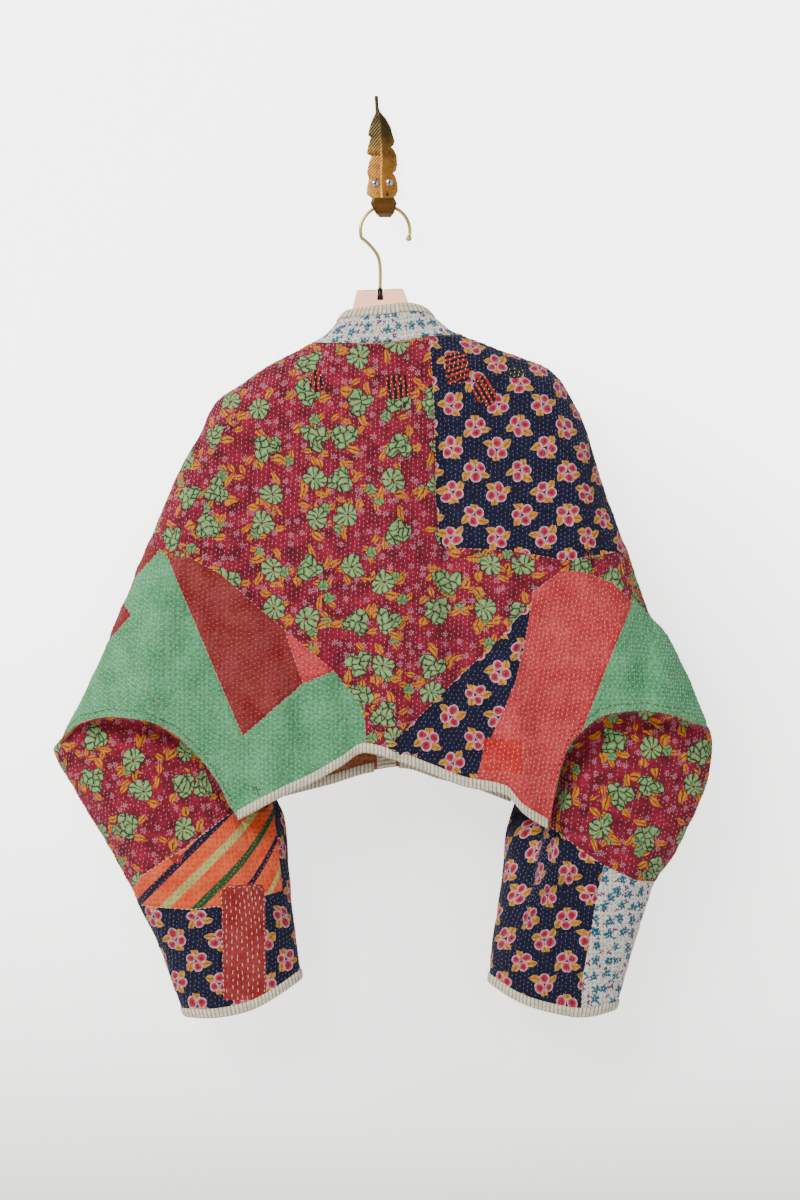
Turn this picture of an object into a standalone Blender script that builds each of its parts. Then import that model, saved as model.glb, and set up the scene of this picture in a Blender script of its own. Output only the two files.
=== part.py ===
"""A cropped patchwork jacket with wing sleeves, hung by its hanger from a leaf-shaped wall hook.

Tables are in millimetres. X runs to the photograph's right, Z up, and the wall is the plane Y = 0,
with the jacket's back turned away from it, towards minus Y. The origin is on the leaf's flat back.
"""
import math

import bmesh
import bpy
import numpy as np

MM = 0.001

# Cloth
CLOTH = 2.4
QUILT_RISE = 1.2
SEAM = 0.7
ARMHOLE_SEAM = 1.0
NECK_SEAM = 1.5
UNDERARM_STEPS = 4
FOLD_Y = -42.0
HEM_BAND = 12.0
COLUMN_STEP = 7.2
FRONT_COLUMN_STEP = 13.5
LEFT_END_X = -358.0
RIGHT_END_X = 366.0
FRONT_EDGE_X = 4.0
TURN_ROWS = 5
BACK_ROWS = 8
FRONT_ROWS = 6

# Binding: a strip folded over an edge
BIND_HEIGHT = 9.5
BIND_CLOTH = 1.3
BIND_GAP = 0.6
COLLAR_BIND_GAP = 1.0

# Hanger, its hook and the wall hook
HANGER_Y = -40.0
HANGER_THICK = 9.0
WIRE_RADIUS = 2.0
ARCH_X = 3.5
ARCH_Z = -90.7
ARCH_RADIUS = 28.5
FERRULE_RADIUS = 3.2
SCREW_RADIUS = 4.6

# Overarm fold: x, z
OVERARM_LEFT = [
    (-376, -692), (-353, -644), (-317, -567), (-298, -520), (-273, -459), (-232, -365),
    (-222, -345), (-208, -322), (-200, -302), (-192, -289), (-162, -268), (-127, -246), (-83, -222),
]
NECK_PEAK = [(-45, -196), (5, -184), (55, -192)]
OVERARM_RIGHT = [
    (94, -213), (117, -221), (141, -231), (166, -240), (193, -252), (204, -262), (217, -283),
    (230, -307), (243, -345), (252, -375), (282, -458), (309, -535), (329, -558), (354, -610), (378, -665),
]
NECK_BACK = [(-83, -222), (-32, -224), (18, -222), (55, -216), (94, -213)]
NECK_FRONT = [(-83, -222), (-62, -247), (-34, -269), (6, -281), (40, -268), (70, -243), (94, -213)]

# Lower edges: x, z
ARMHOLE_BACK_LEFT = [
    (-376, -692), (-367, -679), (-344, -658), (-306, -650), (-267, -654), (-235, -669),
    (-212, -690), (-187, -722), (-170, -754), (-163, -765),
]
HEM_BACK = [
    (-163, -765), (-120, -742), (-77, -722), (-46, -704), (-20, -689), (23, -700), (55, -712),
    (94, -727), (141, -737), (160, -757), (190, -776),
]
ARMHOLE_BACK_RIGHT = [
    (190, -776), (198, -728), (213, -681), (230, -664), (247, -650), (266, -645), (300, -643),
    (336, -650), (357, -658), (378, -665),
]
ARMHOLE_FRONT_LEFT = [
    (-376, -692), (-344, -662), (-306, -652), (-267, -656), (-235, -669), (-205, -690),
    (-170, -716), (-135, -738), (-120, -746),
]
HEM_FRONT = [
    (-120, -746), (-61, -731), (-14, -717), (23, -712), (68, -725), (94, -731), (152, -752),
]
ARMHOLE_FRONT_RIGHT = [
    (152, -752), (175, -733), (205, -698), (235, -665), (266, -648), (300, -645), (336, -652),
    (378, -665),
]

# How full the body hangs: z, radius of the turn at the fold, depth of the back, depth of the fronts
BODY_DEPTH = [
    (-780, 72, 50, 33), (-640, 70, 50, 32), (-520, 66, 44, 30), (-400, 58, 35, 27),
    (-300, 46, 26, 23), (-222, 40, 21, 20), (-170, 40, 21, 20),
]
# Soft folds of the back: x at the top, x at the bottom, top z, bottom z, half width, depth outward
BACK_FOLDS = [
    (9, 14, -270, -640, 26, 5.0),
    (66, 84, -290, -600, 24, -7.5),
    (128, 164, -420, -745, 26, 7.0),
    (-160, -84, -420, -660, 26, -6.5),
    (-52, -24, -560, -700, 20, -6.0),
    (-110, -130, -560, -760, 30, 6.0),
    (-250, -272, -500, -650, 40, 7.0),
    (262, 300, -520, -640, 40, 7.0),
]

# Sleeves. Outline: x, z, from the wing tip down to the cuff, and across the cuff from outer to inner side
SLEEVES = {
    "left": {
        "outer": [
            (-359.5, -655.5), (-376, -694), (-335, -769), (-293, -842), (-281, -868), (-255, -926),
            (-229, -996),
        ],
        "inner": [(-132, -757), (-118, -782), (-112, -815), (-105, -872), (-93, -953)],
        "cuff": [(-229, -996), (-187, -994), (-144, -983), (-93, -953)],
        "end_x": LEFT_END_X - 1.5,
    },
    "right": {
        "outer": [(367.5, -644), (379, -668), (380, -702), (370, -739), (338, -807), (315, -842), (304, -872),
                  (289, -921), (271, -988)],
        "inner": [(164, -764), (148, -792), (139, -845), (130, -895), (123, -957)],
        "cuff": [(271, -988), (230, -994), (189, -987), (156, -976), (123, -957)],
        "end_x": RIGHT_END_X + 1.5,
    },
}
# Sleeve: share of the way down, middle y, depth of its back, depth of its front
SLEEVE_DEPTH = [
    (0.0, -42, 20, 30), (0.05, -43, 22, 31), (0.25, -45, 34, 32), (0.5, -44, 38, 31),
    (0.75, -42, 31, 26), (1.0, -40, 25, 21),
]
# Rows of the sleeve: share of the way down, share of the armhole's own depth kept
SLEEVE_ROWS = [
    (0.0, 1.0), (0.014, 0.5), (0.036, 0.12), (0.075, 0.0), (0.16, 0.0), (0.26, 0.0), (0.37, 0.0),
    (0.48, 0.0), (0.59, 0.0), (0.7, 0.0), (0.82, 0.0), (0.955, 0.0), (1.0, 0.0),
]
# Soft creases of the sleeves' backs: share across, share down, half widths across and down, depth outward
SLEEVE_FOLDS = {
    "left": [
        (0.28, 0.24, 0.2, 0.1, -5.0), (0.6, 0.4, 0.25, 0.08, 4.0), (0.35, 0.6, 0.3, 0.06, -4.5),
        (0.7, 0.78, 0.14, 0.2, 3.5),
    ],
    "right": [
        (0.3, 0.2, 0.2, 0.1, 5.0), (0.6, 0.32, 0.2, 0.1, -5.0), (0.45, 0.56, 0.3, 0.06, -4.5),
        (0.3, 0.76, 0.14, 0.2, 3.5),
    ],
}

# Collar: share of the way round from the front left edge, lean towards the middle, rise
COLLAR_RISE = [
    (0.0, 0.05, 40), (0.16, 0.2, 41), (0.32, 0.34, 38), (0.42, 0.38, 41), (0.5, 0.38, 42.5),
    (0.6, 0.38, 40), (0.68, 0.37, 31), (0.84, 0.2, 40), (1.0, 0.05, 40),
]
NECK_MIDDLE = (5.0, -42.0)
# How many times each row of the collar is evened out, from the seam up, so that it turns softly at the sides
COLLAR_SOFTENING = (0, 1, 2, 4, 4)

# Hanger outline: x, z, clockwise from the left of its neck
HANGER_OUTLINE = [
    (-29, -160), (-5.75, -159), (-5.75, -171.35), (1.35, -171.35), (1.35, -159), (24, -158),
    (29, -170), (36, -196), (60, -222), (94, -238), (141, -250), (184, -264), (200, -280),
    (206, -300), (198, -318), (186, -322),
    (150, -296), (100, -276), (50, -264), (5, -262), (-50, -266), (-100, -284), (-140, -306), (-172, -326),
    (-186, -326), (-192, -312), (-184, -298), (-160, -284), (-127, -266), (-83, -253), (-50, -230),
    (-38, -200), (-33, -176),
]
# Hanger hook, up from the ferrule: x, z
STEM = [(-2.2, -157.6), (-2.2, -134), (-4.5, -121), (-10.5, -111.5), (-19, -102.5)]
ARCH_FROM, ARCH_TO = 197.0, -12.0

# Wall hook, from the stem's tip down: x, y, z, half width left and right, reach to the front and to the back
LEAF = [
    (-7.5, -4, 73, 1.8, 1.8, 1.6, 4), (-6.5, -4, 62, 2.0, 2.0, 1.8, 4), (-4, -4, 52, 3.2, 3.0, 2.2, 4),
    (-3, -4, 44, 8.5, 7.5, 2.6, 4), (-2, -4, 40, 7.0, 9.5, 2.8, 4), (-1.5, -4, 32, 13, 12.5, 3.0, 4),
    (-1, -4, 26, 11, 13.5, 3.0, 4), (0, -4, 16, 15.5, 15.5, 3.1, 4), (0, -4, 10, 12.5, 13, 3.1, 4),
    (0.5, -4, 1, 17, 17.5, 3.2, 4), (0.5, -4, -7, 13.5, 15.5, 3.2, 4), (0, -4, -16, 18, 18, 3.3, 4),
    (0, -4, -22, 14.5, 15.5, 3.3, 4), (0, -4, -34, 17.5, 17.5, 3.3, 4), (0.5, -4.4, -43, 13, 14, 3.6, 3.8),
    (1, -6.5, -53, 9.5, 9.5, 4, 4), (2, -13.5, -62.5, 7.5, 7.5, 4.4, 4.4), (2.5, -26, -68, 7, 7, 4.8, 4.8),
    (3.5, -40, -70.2, 7, 7, 5, 5), (3, -50, -68, 12, 12, 4.4, 4.4), (2.5, -56, -62.5, 16, 15, 3.4, 3.4),
    (2, -58, -55.5, 13, 12, 2.2, 2.2),
]
# The leaf's cross-section: share of the half width, share of the reach to the front (minus) or back
LEAF_SECTION = [
    (-1.0, 0.4), (-1.0, -0.2), (-0.5, -0.6), (0.0, -1.0), (0.5, -0.6), (1.0, -0.2), (1.0, 0.4),
    (0.85, 1.0), (-0.85, 1.0),
]
SCREWS = {"left": (-8.3, -30.0), "right": (8.3, -29.0)}
SCREW_Y = -7.05


def eased(rows, column=1):
    """A smooth curve through a table's first column and another, with no overshoot."""
    table = sorted((row[0], row[column]) for row in rows)
    xs = np.array([row[0] for row in table], float)
    ys = np.array([row[1] for row in table], float)
    steps = np.diff(xs)
    slopes = np.diff(ys) / steps
    tangents = np.zeros(len(xs))
    tangents[0], tangents[-1] = slopes[0], slopes[-1]
    for i in range(1, len(xs) - 1):
        if slopes[i - 1] * slopes[i] > 0:
            before = 2 * steps[i] + steps[i - 1]
            after = steps[i] + 2 * steps[i - 1]
            tangents[i] = (before + after) / (before / slopes[i - 1] + after / slopes[i])

    def value(x):
        i = int(np.clip(np.searchsorted(xs, x) - 1, 0, len(steps) - 1))
        t = min(max((x - xs[i]) / steps[i], 0.0), 1.0)
        rise = (ys[i + 1] - ys[i]) * t * t * (3 - 2 * t)
        lead = tangents[i] * steps[i] * t * (1 - t) ** 2
        tail = tangents[i + 1] * steps[i] * t * t * (t - 1)
        return ys[i] + rise + lead + tail

    return value


def joined(*tables):
    """One z for each x, from tables side by side, so that the corners between them stay sharp."""
    curves = [(max(row[0] for row in table), eased(table)) for table in tables]

    def value(x):
        for end, curve in curves[:-1]:
            if x <= end:
                return curve(x)
        return curves[-1][1](x)

    return value


def traced(points):
    """A path through points, given by its share of length."""
    points = np.array(points, float)
    ends = np.vstack([2 * points[0] - points[1], points, 2 * points[-1] - points[-2]])
    fine = []
    for i in range(len(points) - 1):
        a, b, c, d = ends[i:i + 4]
        for t in np.linspace(0, 1, 12, endpoint=False):
            bend = (2 * a - 5 * b + 4 * c - d) * t ** 2 + (3 * b - a - 3 * c + d) * t ** 3
            fine.append(0.5 * (2 * b + (c - a) * t + bend))
    fine = np.array(fine + [points[-1]])
    run = np.concatenate([[0], np.cumsum(np.linalg.norm(np.diff(fine, axis=0), axis=1))])
    run /= run[-1]
    return lambda share: np.array([np.interp(share, run, fine[:, k]) for k in range(fine.shape[1])])


fold_line = eased(OVERARM_LEFT + NECK_PEAK + OVERARM_RIGHT)
neck_back = eased(NECK_BACK)
neck_front = eased(NECK_FRONT)
lower_back = joined(ARMHOLE_BACK_LEFT, HEM_BACK, ARMHOLE_BACK_RIGHT)
lower_front = joined(ARMHOLE_FRONT_LEFT, HEM_FRONT, ARMHOLE_FRONT_RIGHT)
turn_radius = eased(BODY_DEPTH, 1)
back_depth = eased(BODY_DEPTH, 2)
front_depth = eased(BODY_DEPTH, 3)


def fold_slope(x):
    return (fold_line(x + 8) - fold_line(x - 8)) / 16


def bump(offset):
    return math.cos(math.pi / 2 * offset) ** 2 if abs(offset) < 1 else 0.0


def body_y(x, z, side):
    """Y of the body's outer skin. Side is -1 for the back and 1 for the fronts."""
    below = max(fold_line(x) - z, 0.0) / math.hypot(1, fold_slope(x))
    turn = min(below / turn_radius(z), 1.0)
    full = math.sqrt(1 - (1 - turn) ** 2)
    if side > 0:
        return FOLD_Y + front_depth(z) * full
    folds = 0.0
    for x_top, x_bottom, z_top, z_bottom, half, out in BACK_FOLDS:
        down = (z_top - z) / (z_top - z_bottom)
        if 0 < down < 1.15:
            ease = min(1.0, 4 * down) * min(1.0, 4 * (1.25 - down))
            folds += out * ease * bump((x - x_top - (x_bottom - x_top) * down) / half)
    return FOLD_Y - back_depth(z) * full - folds * turn


def skin_normals(grid, around=False):
    """Unit normals of a grid of points, columns by rows."""
    if around:
        along = np.roll(grid, -1, axis=0) - np.roll(grid, 1, axis=0)
    else:
        along = np.gradient(grid, axis=0)
    down = np.gradient(grid, axis=1)
    normals = np.cross(along, down)
    return normals / np.linalg.norm(normals, axis=2, keepdims=True)


def zip_strip(first, second, faces):
    """Triangles between two runs of points whose counts may differ."""
    i, j = 0, 0
    while i < len(first) - 1 or j < len(second) - 1:
        ahead_i = (i + 1) / (len(first) - 1) if i < len(first) - 1 else 9
        ahead_j = (j + 1) / (len(second) - 1) if j < len(second) - 1 else 9
        if ahead_i <= ahead_j:
            faces.append((first[i], first[i + 1], second[j]))
            i += 1
        else:
            faces.append((first[i], second[j + 1], second[j]))
            j += 1


def wall(name, outer, inner, material, around=False):
    """A closed cloth wall between two grids with the same rows. The inner one may have fewer columns."""
    rows = outer.shape[1]
    points = np.concatenate([outer.reshape(-1, 3), inner.reshape(-1, 3)])
    start = outer.shape[0] * rows

    def outside(i, j):
        return (i % outer.shape[0]) * rows + j

    def inside(i, j):
        return start + (i % inner.shape[0]) * rows + j

    faces = []
    outer_runs = outer.shape[0] if around else outer.shape[0] - 1
    inner_runs = inner.shape[0] if around else inner.shape[0] - 1
    for j in range(rows - 1):
        for i in range(outer_runs):
            faces.append((outside(i, j), outside(i + 1, j), outside(i + 1, j + 1), outside(i, j + 1)))
        for i in range(inner_runs):
            faces.append((inside(i, j), inside(i, j + 1), inside(i + 1, j + 1), inside(i + 1, j)))
    for j, flip in ((0, True), (rows - 1, False)):
        strip = []
        outer_run = [outside(i, j) for i in range(outer_runs + 1)]
        zip_strip(outer_run, [inside(i, j) for i in range(inner_runs + 1)], strip)
        faces += [face[::-1] if flip else face for face in strip]
    if not around:
        for i, k, flip in ((0, 0, False), (outer.shape[0] - 1, inner.shape[0] - 1, True)):
            strip = []
            zip_strip([outside(i, j) for j in range(rows)], [inside(k, j) for j in range(rows)], strip)
            faces += [face[::-1] if flip else face for face in strip]
    return add_solid(name, points, faces, material)


def add_solid(name, points, faces, material, smooth=True):
    mesh = bpy.data.meshes.new(name)
    places = [tuple(point * MM) for point in np.asarray(points, float)]
    mesh.from_pydata(places, [], [tuple(face) for face in faces])
    mesh.materials.append(material)
    shape = bmesh.new()
    shape.from_mesh(mesh)
    bmesh.ops.recalc_face_normals(shape, faces=shape.faces)
    if shape.calc_volume(signed=True) < 0:
        bmesh.ops.reverse_faces(shape, faces=shape.faces)
    shape.to_mesh(mesh)
    shape.free()
    for polygon in mesh.polygons:
        polygon.use_smooth = smooth
    piece = bpy.data.objects.new(name, mesh)
    bpy.context.scene.collection.objects.link(piece)
    return piece


def swept(name, sections, material, around=False):
    """A closed body through cross-sections that all have the same number of points."""
    count = len(sections[0])
    points = np.concatenate(sections)
    faces = []
    for i in range(len(sections) if around else len(sections) - 1):
        here, there = i * count, (i + 1) % len(sections) * count
        for j in range(count):
            k = (j + 1) % count
            faces.append((here + j, here + k, there + k, there + j))
    if not around:
        faces.append(tuple(range(count))[::-1])
        last = (len(sections) - 1) * count
        faces.append(tuple(last + j for j in range(count)))
    return add_solid(name, points, faces, material)


def binding(name, edge, next_row, normals, material, around=False, gap=BIND_GAP):
    """A strip folded over a wall's edge, made from the wall's own points."""
    sections = []
    for point, inward, normal in zip(edge, next_row, normals):
        up = inward - point
        up = up - normal * np.dot(up, normal)
        up /= np.linalg.norm(up)
        near, far = gap, -CLOTH - gap
        outline = [
            (near, BIND_HEIGHT), (near + BIND_CLOTH, BIND_HEIGHT), (near + BIND_CLOTH, 0.0),
            (near + BIND_CLOTH * 0.4, -gap - BIND_CLOTH), (far - BIND_CLOTH * 0.4, -gap - BIND_CLOTH),
            (far - BIND_CLOTH, 0.0), (far - BIND_CLOTH, BIND_HEIGHT), (far, BIND_HEIGHT),
            (far, -gap), (near, -gap),
        ]
        sections.append(np.array([point + normal * out + up * rise for out, rise in outline]))
    swept(name, sections, material, around)


def quilted(base, normals, plain_first, plain_last, beside_edge=False):
    """The outer skin: every second column raised, a little unevenly, as rows of hand stitching pull it."""
    raised = base.copy()
    for i in range(1, base.shape[0], 2):
        if beside_edge and i in (1, base.shape[0] - 2):
            continue
        for j in range(plain_first, base.shape[1] - plain_last):
            share = 1.0 if (i // 2 + j) % 2 else 0.6
            raised[i, j] += normals[i, j] * QUILT_RISE * share
    return raised


def straighten_band(grid):
    """Lays the odd columns of the last two rows on the line between their neighbours, under a binding."""
    count = grid.shape[0]
    for i in range(1, count, 2):
        grid[i, -2:] = (grid[i - 1, -2:] + grid[(i + 1) % count, -2:]) / 2


def column_heights(x, top, bottom, rows, open_top):
    """Where a column's points lie: close together in the turn at the fold, then even, with a band at the hem."""
    lean = math.hypot(1, fold_slope(x))
    last = bottom + min(HEM_BAND, 0.15 * (top - bottom))
    if open_top:
        upper = list(np.linspace(top, last, TURN_ROWS + rows))
        return upper + [bottom]
    reach = min(turn_radius(top) * lean, 0.62 * (top - bottom))
    upper = [top - reach * (1 - math.cos(math.pi / 2 * k / (TURN_ROWS - 1))) for k in range(TURN_ROWS)]
    lower = list(np.linspace(upper[-1], last, rows + 1)[1:])
    return upper + lower + [bottom]


def panel(name, columns, side, neck, lower, rows, material):
    """A body panel from columns of points. Side is -1 for the back and 1 for a front."""
    grid = []
    for x in columns:
        open_top = NECK_BACK[0][0] < x < NECK_BACK[-1][0]
        top = neck(x) if open_top else fold_line(x)
        heights = column_heights(x, top, lower(x), rows, open_top)
        grid.append([(x, body_y(x, z, side) + side * SEAM / 2, z) for z in heights])
    grid = np.array(grid)
    straighten_band(grid)
    normals = skin_normals(grid)
    for i, x in enumerate(columns):
        if not NECK_BACK[0][0] < x < NECK_BACK[-1][0]:
            slope = fold_slope(x)
            normals[i, 0] = np.array([-slope, 0, 1]) / math.hypot(1, slope)
    inner = (grid - normals * CLOTH)[::2]
    wall(name, quilted(grid, normals, 1, 2, side > 0), inner, material)
    return grid, normals


def spaced(start, end, step, keep=()):
    """An odd number of places from start to end, with some even ones moved onto the places to keep."""
    count = 2 * round(abs(end - start) / step / 2) + 1
    places = np.linspace(start, end, count)
    for place in keep:
        nearest = 2 * int(np.argmin(np.abs(places[::2] - place)))
        places[nearest] = place
    return places


def binding_below(name, grid, normals, columns, first, last, material):
    """The binding over the lowest row of a panel, between two places on it."""
    chosen = [i for i in range(0, len(columns), 2) if min(first, last) <= columns[i] <= max(first, last)]
    edge = [grid[i, -1] for i in chosen]
    above = [grid[i, -2] for i in chosen]
    binding(name, edge, above, [normals[i, -1] for i in chosen], material)


def armhole_path(side_name, side, columns, grid, normals, corner, steps):
    """The sleeve's upper edge, a seam's width off the panel's own points and ending under the arm.

    Gives the points, their shares of the whole length, and which way the cloth faces at each.
    """
    shape = SLEEVES[side_name]
    sign = 1 if side_name == "left" else -1
    chosen = [i for i in range(len(columns)) if sign * columns[i] <= sign * corner + 0.01]
    chosen.sort(key=lambda i: sign * columns[i])
    edge = [grid[i, -1] for i in chosen]
    facing = [np.array([-float(sign), 0.0, 0.0])] + [normals[i, -1] for i in chosen]
    path = [np.array([shape["outer"][0][0], FOLD_Y, shape["outer"][0][1]])]
    for i, point in enumerate(edge):
        along = edge[min(i + 1, len(edge) - 1)] - edge[max(i - 1, 0)]
        away = np.array([along[2], 0.0, -along[0]]) * sign
        path.append(point + away / np.linalg.norm(away) * ARMHOLE_SEAM)
    path[1][0] = shape["end_x"]
    path.insert(1, (path[0] + path[1]) / 2)
    facing.insert(1, facing[0] + facing[1])
    under = np.array([shape["inner"][0][0], SLEEVE_DEPTH[0][1], shape["inner"][0][1]])
    start = path[-1]
    for turn in np.linspace(0, math.pi / 2, steps + 1)[1:]:
        slow, fast = 1 - math.cos(turn), math.sin(turn)
        path.append(start + (under - start) * np.array([slow, fast, slow]))
        inward = np.array([float(sign), 0.0, 0.0])
        facing.append(normals[chosen[-1], -1] * math.cos(turn) + inward * math.sin(turn))
    run = np.concatenate([[0], np.cumsum([np.linalg.norm(b - a) for a, b in zip(path, path[1:])])])
    facing = np.array(facing)
    facing[:, 2] = np.maximum(facing[:, 2], 0.0)
    return np.array(path), run / run[-1], facing


def across(share):
    return max(0.0, 1 - abs(2 * share - 1) ** 2.6) ** (1 / 2.2)


def sleeve_point(shape, head, q, v, kept, side):
    """A point of a sleeve's skin: q runs across from its outer side, v down from the armhole."""
    outer, inner, cuff = shape["curves"]
    foot = cuff(q)
    head_xz = np.array([head[0], head[2]])
    first, last = outer(v), inner(v)
    corners = (1 - q) * ((1 - v) * outer(0) + v * outer(1)) + q * ((1 - v) * inner(0) + v * inner(1))
    x, z = (1 - v) * head_xz + v * foot + (1 - q) * first + q * last - corners
    middle, back, front = (eased(SLEEVE_DEPTH, k)(v) for k in (1, 2, 3))
    depth = -back if side < 0 else front
    folds = 0.0
    if side < 0:
        for q_at, v_at, q_half, v_half, out in shape["folds"]:
            folds += out * bump((q - q_at) / q_half) * bump((v - v_at) / v_half)
    y = middle + (depth - folds) * across(q)
    return np.array([x, kept * head[1] + (1 - kept) * y, z])


def sleeve(side_name, panels, material):
    shape = SLEEVES[side_name]
    shape["curves"] = [traced(shape[key]) for key in ("outer", "inner", "cuff")]
    shape["folds"] = SLEEVE_FOLDS[side_name]
    back, front = panels
    halves = [armhole_path(side_name, -1, *back, UNDERARM_STEPS)]
    halves.append(armhole_path(side_name, 1, *front, UNDERARM_STEPS))
    if (len(halves[0][0]) + len(halves[1][0])) % 2:
        halves[1] = armhole_path(side_name, 1, *front, UNDERARM_STEPS + 1)
    runs = [[(head, q, side, faces) for head, q, faces in zip(*half)] for side, half in zip((-1, 1), halves)]
    ring = runs[0] + runs[1][-2:0:-1]
    if side_name == "left":
        ring = ring[:1] + ring[:0:-1]
    grid = []
    for head, q, side, _ in ring:
        grid.append([sleeve_point(shape, head, q, v, kept, side) for v, kept in SLEEVE_ROWS])
    grid = np.array(grid)
    straighten_band(grid)
    normals = skin_normals(grid, around=True)
    centre = grid.mean(axis=0)
    if np.sum(normals * (grid - centre)) < 0:
        normals = -normals
    normals[:, 0] = np.array([faces for _, _, _, faces in ring])
    normals[:, 0] /= np.linalg.norm(normals[:, 0], axis=1, keepdims=True)
    inner = (grid - normals * CLOTH)[::2]
    wall("sleeve_" + side_name, quilted(grid, normals, 3, 2), inner, material, around=True)
    return grid, normals


def collar(panels, material):
    """The standing band, from its front left edge round the back to its front right edge.

    Its lower edge is made from the panels' own neck points, front left, back and front right.
    """
    left_x, right_x = NECK_BACK[0][0], NECK_BACK[-1][0]
    line = []
    for part, (columns, grid) in enumerate(panels):
        slack = -0.01 if part == 1 else 0.01
        run = [grid[i, 0] for i in range(len(columns)) if left_x - slack <= columns[i] <= right_x + slack]
        line += sorted(run, key=lambda point: point[0] if part == 1 else -point[0])
    if len(line) % 2 == 0:
        del line[len(line) // 2]
    shares = np.concatenate([[0], np.cumsum([np.linalg.norm(b - a) for a, b in zip(line, line[1:])])])
    shares /= shares[-1]
    lean, rise = eased(COLLAR_RISE, 1), eased(COLLAR_RISE, 2)
    centre = np.array([*NECK_MIDDLE, 0.0])
    grid = []
    for point, share in zip(line, shares):
        base = point + np.array([0, 0, NECK_SEAM])
        inward = (centre - base) * np.array([1, 1, 0]) * lean(share)
        height = rise(share)
        steps = (0.0, 0.25, 0.5, 1 - HEM_BAND / height, 1.0)
        grid.append([base + inward * step + np.array([0, 0, height * step]) for step in steps])
    grid = np.array(grid)
    for j, passes in enumerate(COLLAR_SOFTENING):
        for _ in range(passes):
            grid[1:-1, j] = (grid[:-2, j] + 2 * grid[1:-1, j] + grid[2:, j]) / 4
    straighten_band(grid)
    normals = skin_normals(grid)
    if np.sum(normals * (grid - grid.mean(axis=(0, 1)))) < 0:
        normals = -normals
    normals[:, 0, 2] = 0
    normals[:, 0] /= np.linalg.norm(normals[:, 0], axis=1, keepdims=True)
    wall("collar", quilted(grid, normals, 1, 2, True), (grid - normals * CLOTH)[::2], material)
    return grid, normals


def rod(name, path, radii, sides, material):
    """A round bar along a path."""
    path = np.array(path, float)
    sections = []
    for i, (point, radius) in enumerate(zip(path, radii)):
        along = path[min(i + 1, len(path) - 1)] - path[max(i - 1, 0)]
        along /= np.linalg.norm(along)
        side = np.cross(along, (0, 1, 0) if abs(along[1]) < 0.9 else (1, 0, 0))
        side /= np.linalg.norm(side)
        other = np.cross(along, side)
        turns = [2 * math.pi * k / sides for k in range(sides)]
        ring = [point + radius * (side * math.cos(t) + other * math.sin(t)) for t in turns]
        sections.append(np.array(ring))
    return swept(name, sections, material)


def hanger(material):
    count = len(HANGER_OUTLINE)
    front = [(x, HANGER_Y - HANGER_THICK / 2, z) for x, z in HANGER_OUTLINE]
    back = [(x, HANGER_Y + HANGER_THICK / 2, z) for x, z in HANGER_OUTLINE]
    faces = [tuple(range(count)), tuple(range(count, 2 * count))[::-1]]
    faces += [(i, count + i, count + (i + 1) % count, (i + 1) % count) for i in range(count)]
    add_solid("hanger", front + back, faces, material, smooth=False)


def hanger_hook(material):
    path = [(x, HANGER_Y, z) for x, z in traced_rows(STEM, 8)]
    turns = np.radians(np.linspace(ARCH_FROM, ARCH_TO, 22))
    for t in turns:
        path.append((ARCH_X + ARCH_RADIUS * math.cos(t), HANGER_Y, ARCH_Z + ARCH_RADIUS * math.sin(t)))
    radii = [WIRE_RADIUS] * len(path)
    end = np.array(path[-1])
    onward = end - np.array(path[-2])
    onward /= np.linalg.norm(onward)
    for reach, radius in ((1.5, 3.0), (3.2, 3.5), (5.0, 3.0), (6.4, 1.4)):
        path.append(tuple(end + onward * reach))
        radii.append(radius)
    rod("hanger_hook", path, radii, 10, material)


def traced_rows(rows, count):
    line = traced(rows)
    return [tuple(line(share)) for share in np.linspace(0, 1, count)]


def wall_hook(material):
    centres = np.array([(row[1], row[2]) for row in LEAF], float)
    sections = []
    for i, (x, y, z, left, right, front, back) in enumerate(LEAF):
        if y == LEAF[0][1]:
            along = np.array([0.0, -1.0])
        else:
            along = centres[min(i + 1, len(LEAF) - 1)] - centres[i - 1]
            along /= np.linalg.norm(along)
        behind = np.array([-along[1], along[0]])
        section = []
        for wide, deep in LEAF_SECTION:
            reach = deep * (front if deep < 0 else back)
            half = left if wide < 0 else right
            section.append((x + wide * half, y + behind[0] * reach, z + behind[1] * reach))
        sections.append(np.array(section))
    swept("wall_hook", sections, material)


def screws(material):
    for side_name, (x, z) in SCREWS.items():
        path = [(x, SCREW_Y, z), (x, SCREW_Y - 1.2, z), (x, SCREW_Y - 2.2, z), (x, SCREW_Y - 2.8, z)]
        rod("screw_" + side_name, path, [SCREW_RADIUS, SCREW_RADIUS, 3.4, 1.6], 14, material)


def plain_material(name, color, roughness, metallic=0.0):
    material = bpy.data.materials.new(name)
    material.use_nodes = True
    shader = material.node_tree.nodes["Principled BSDF"]
    shader.inputs["Base Color"].default_value = (*color, 1)
    shader.inputs["Roughness"].default_value = roughness
    shader.inputs["Metallic"].default_value = metallic
    return material


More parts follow.
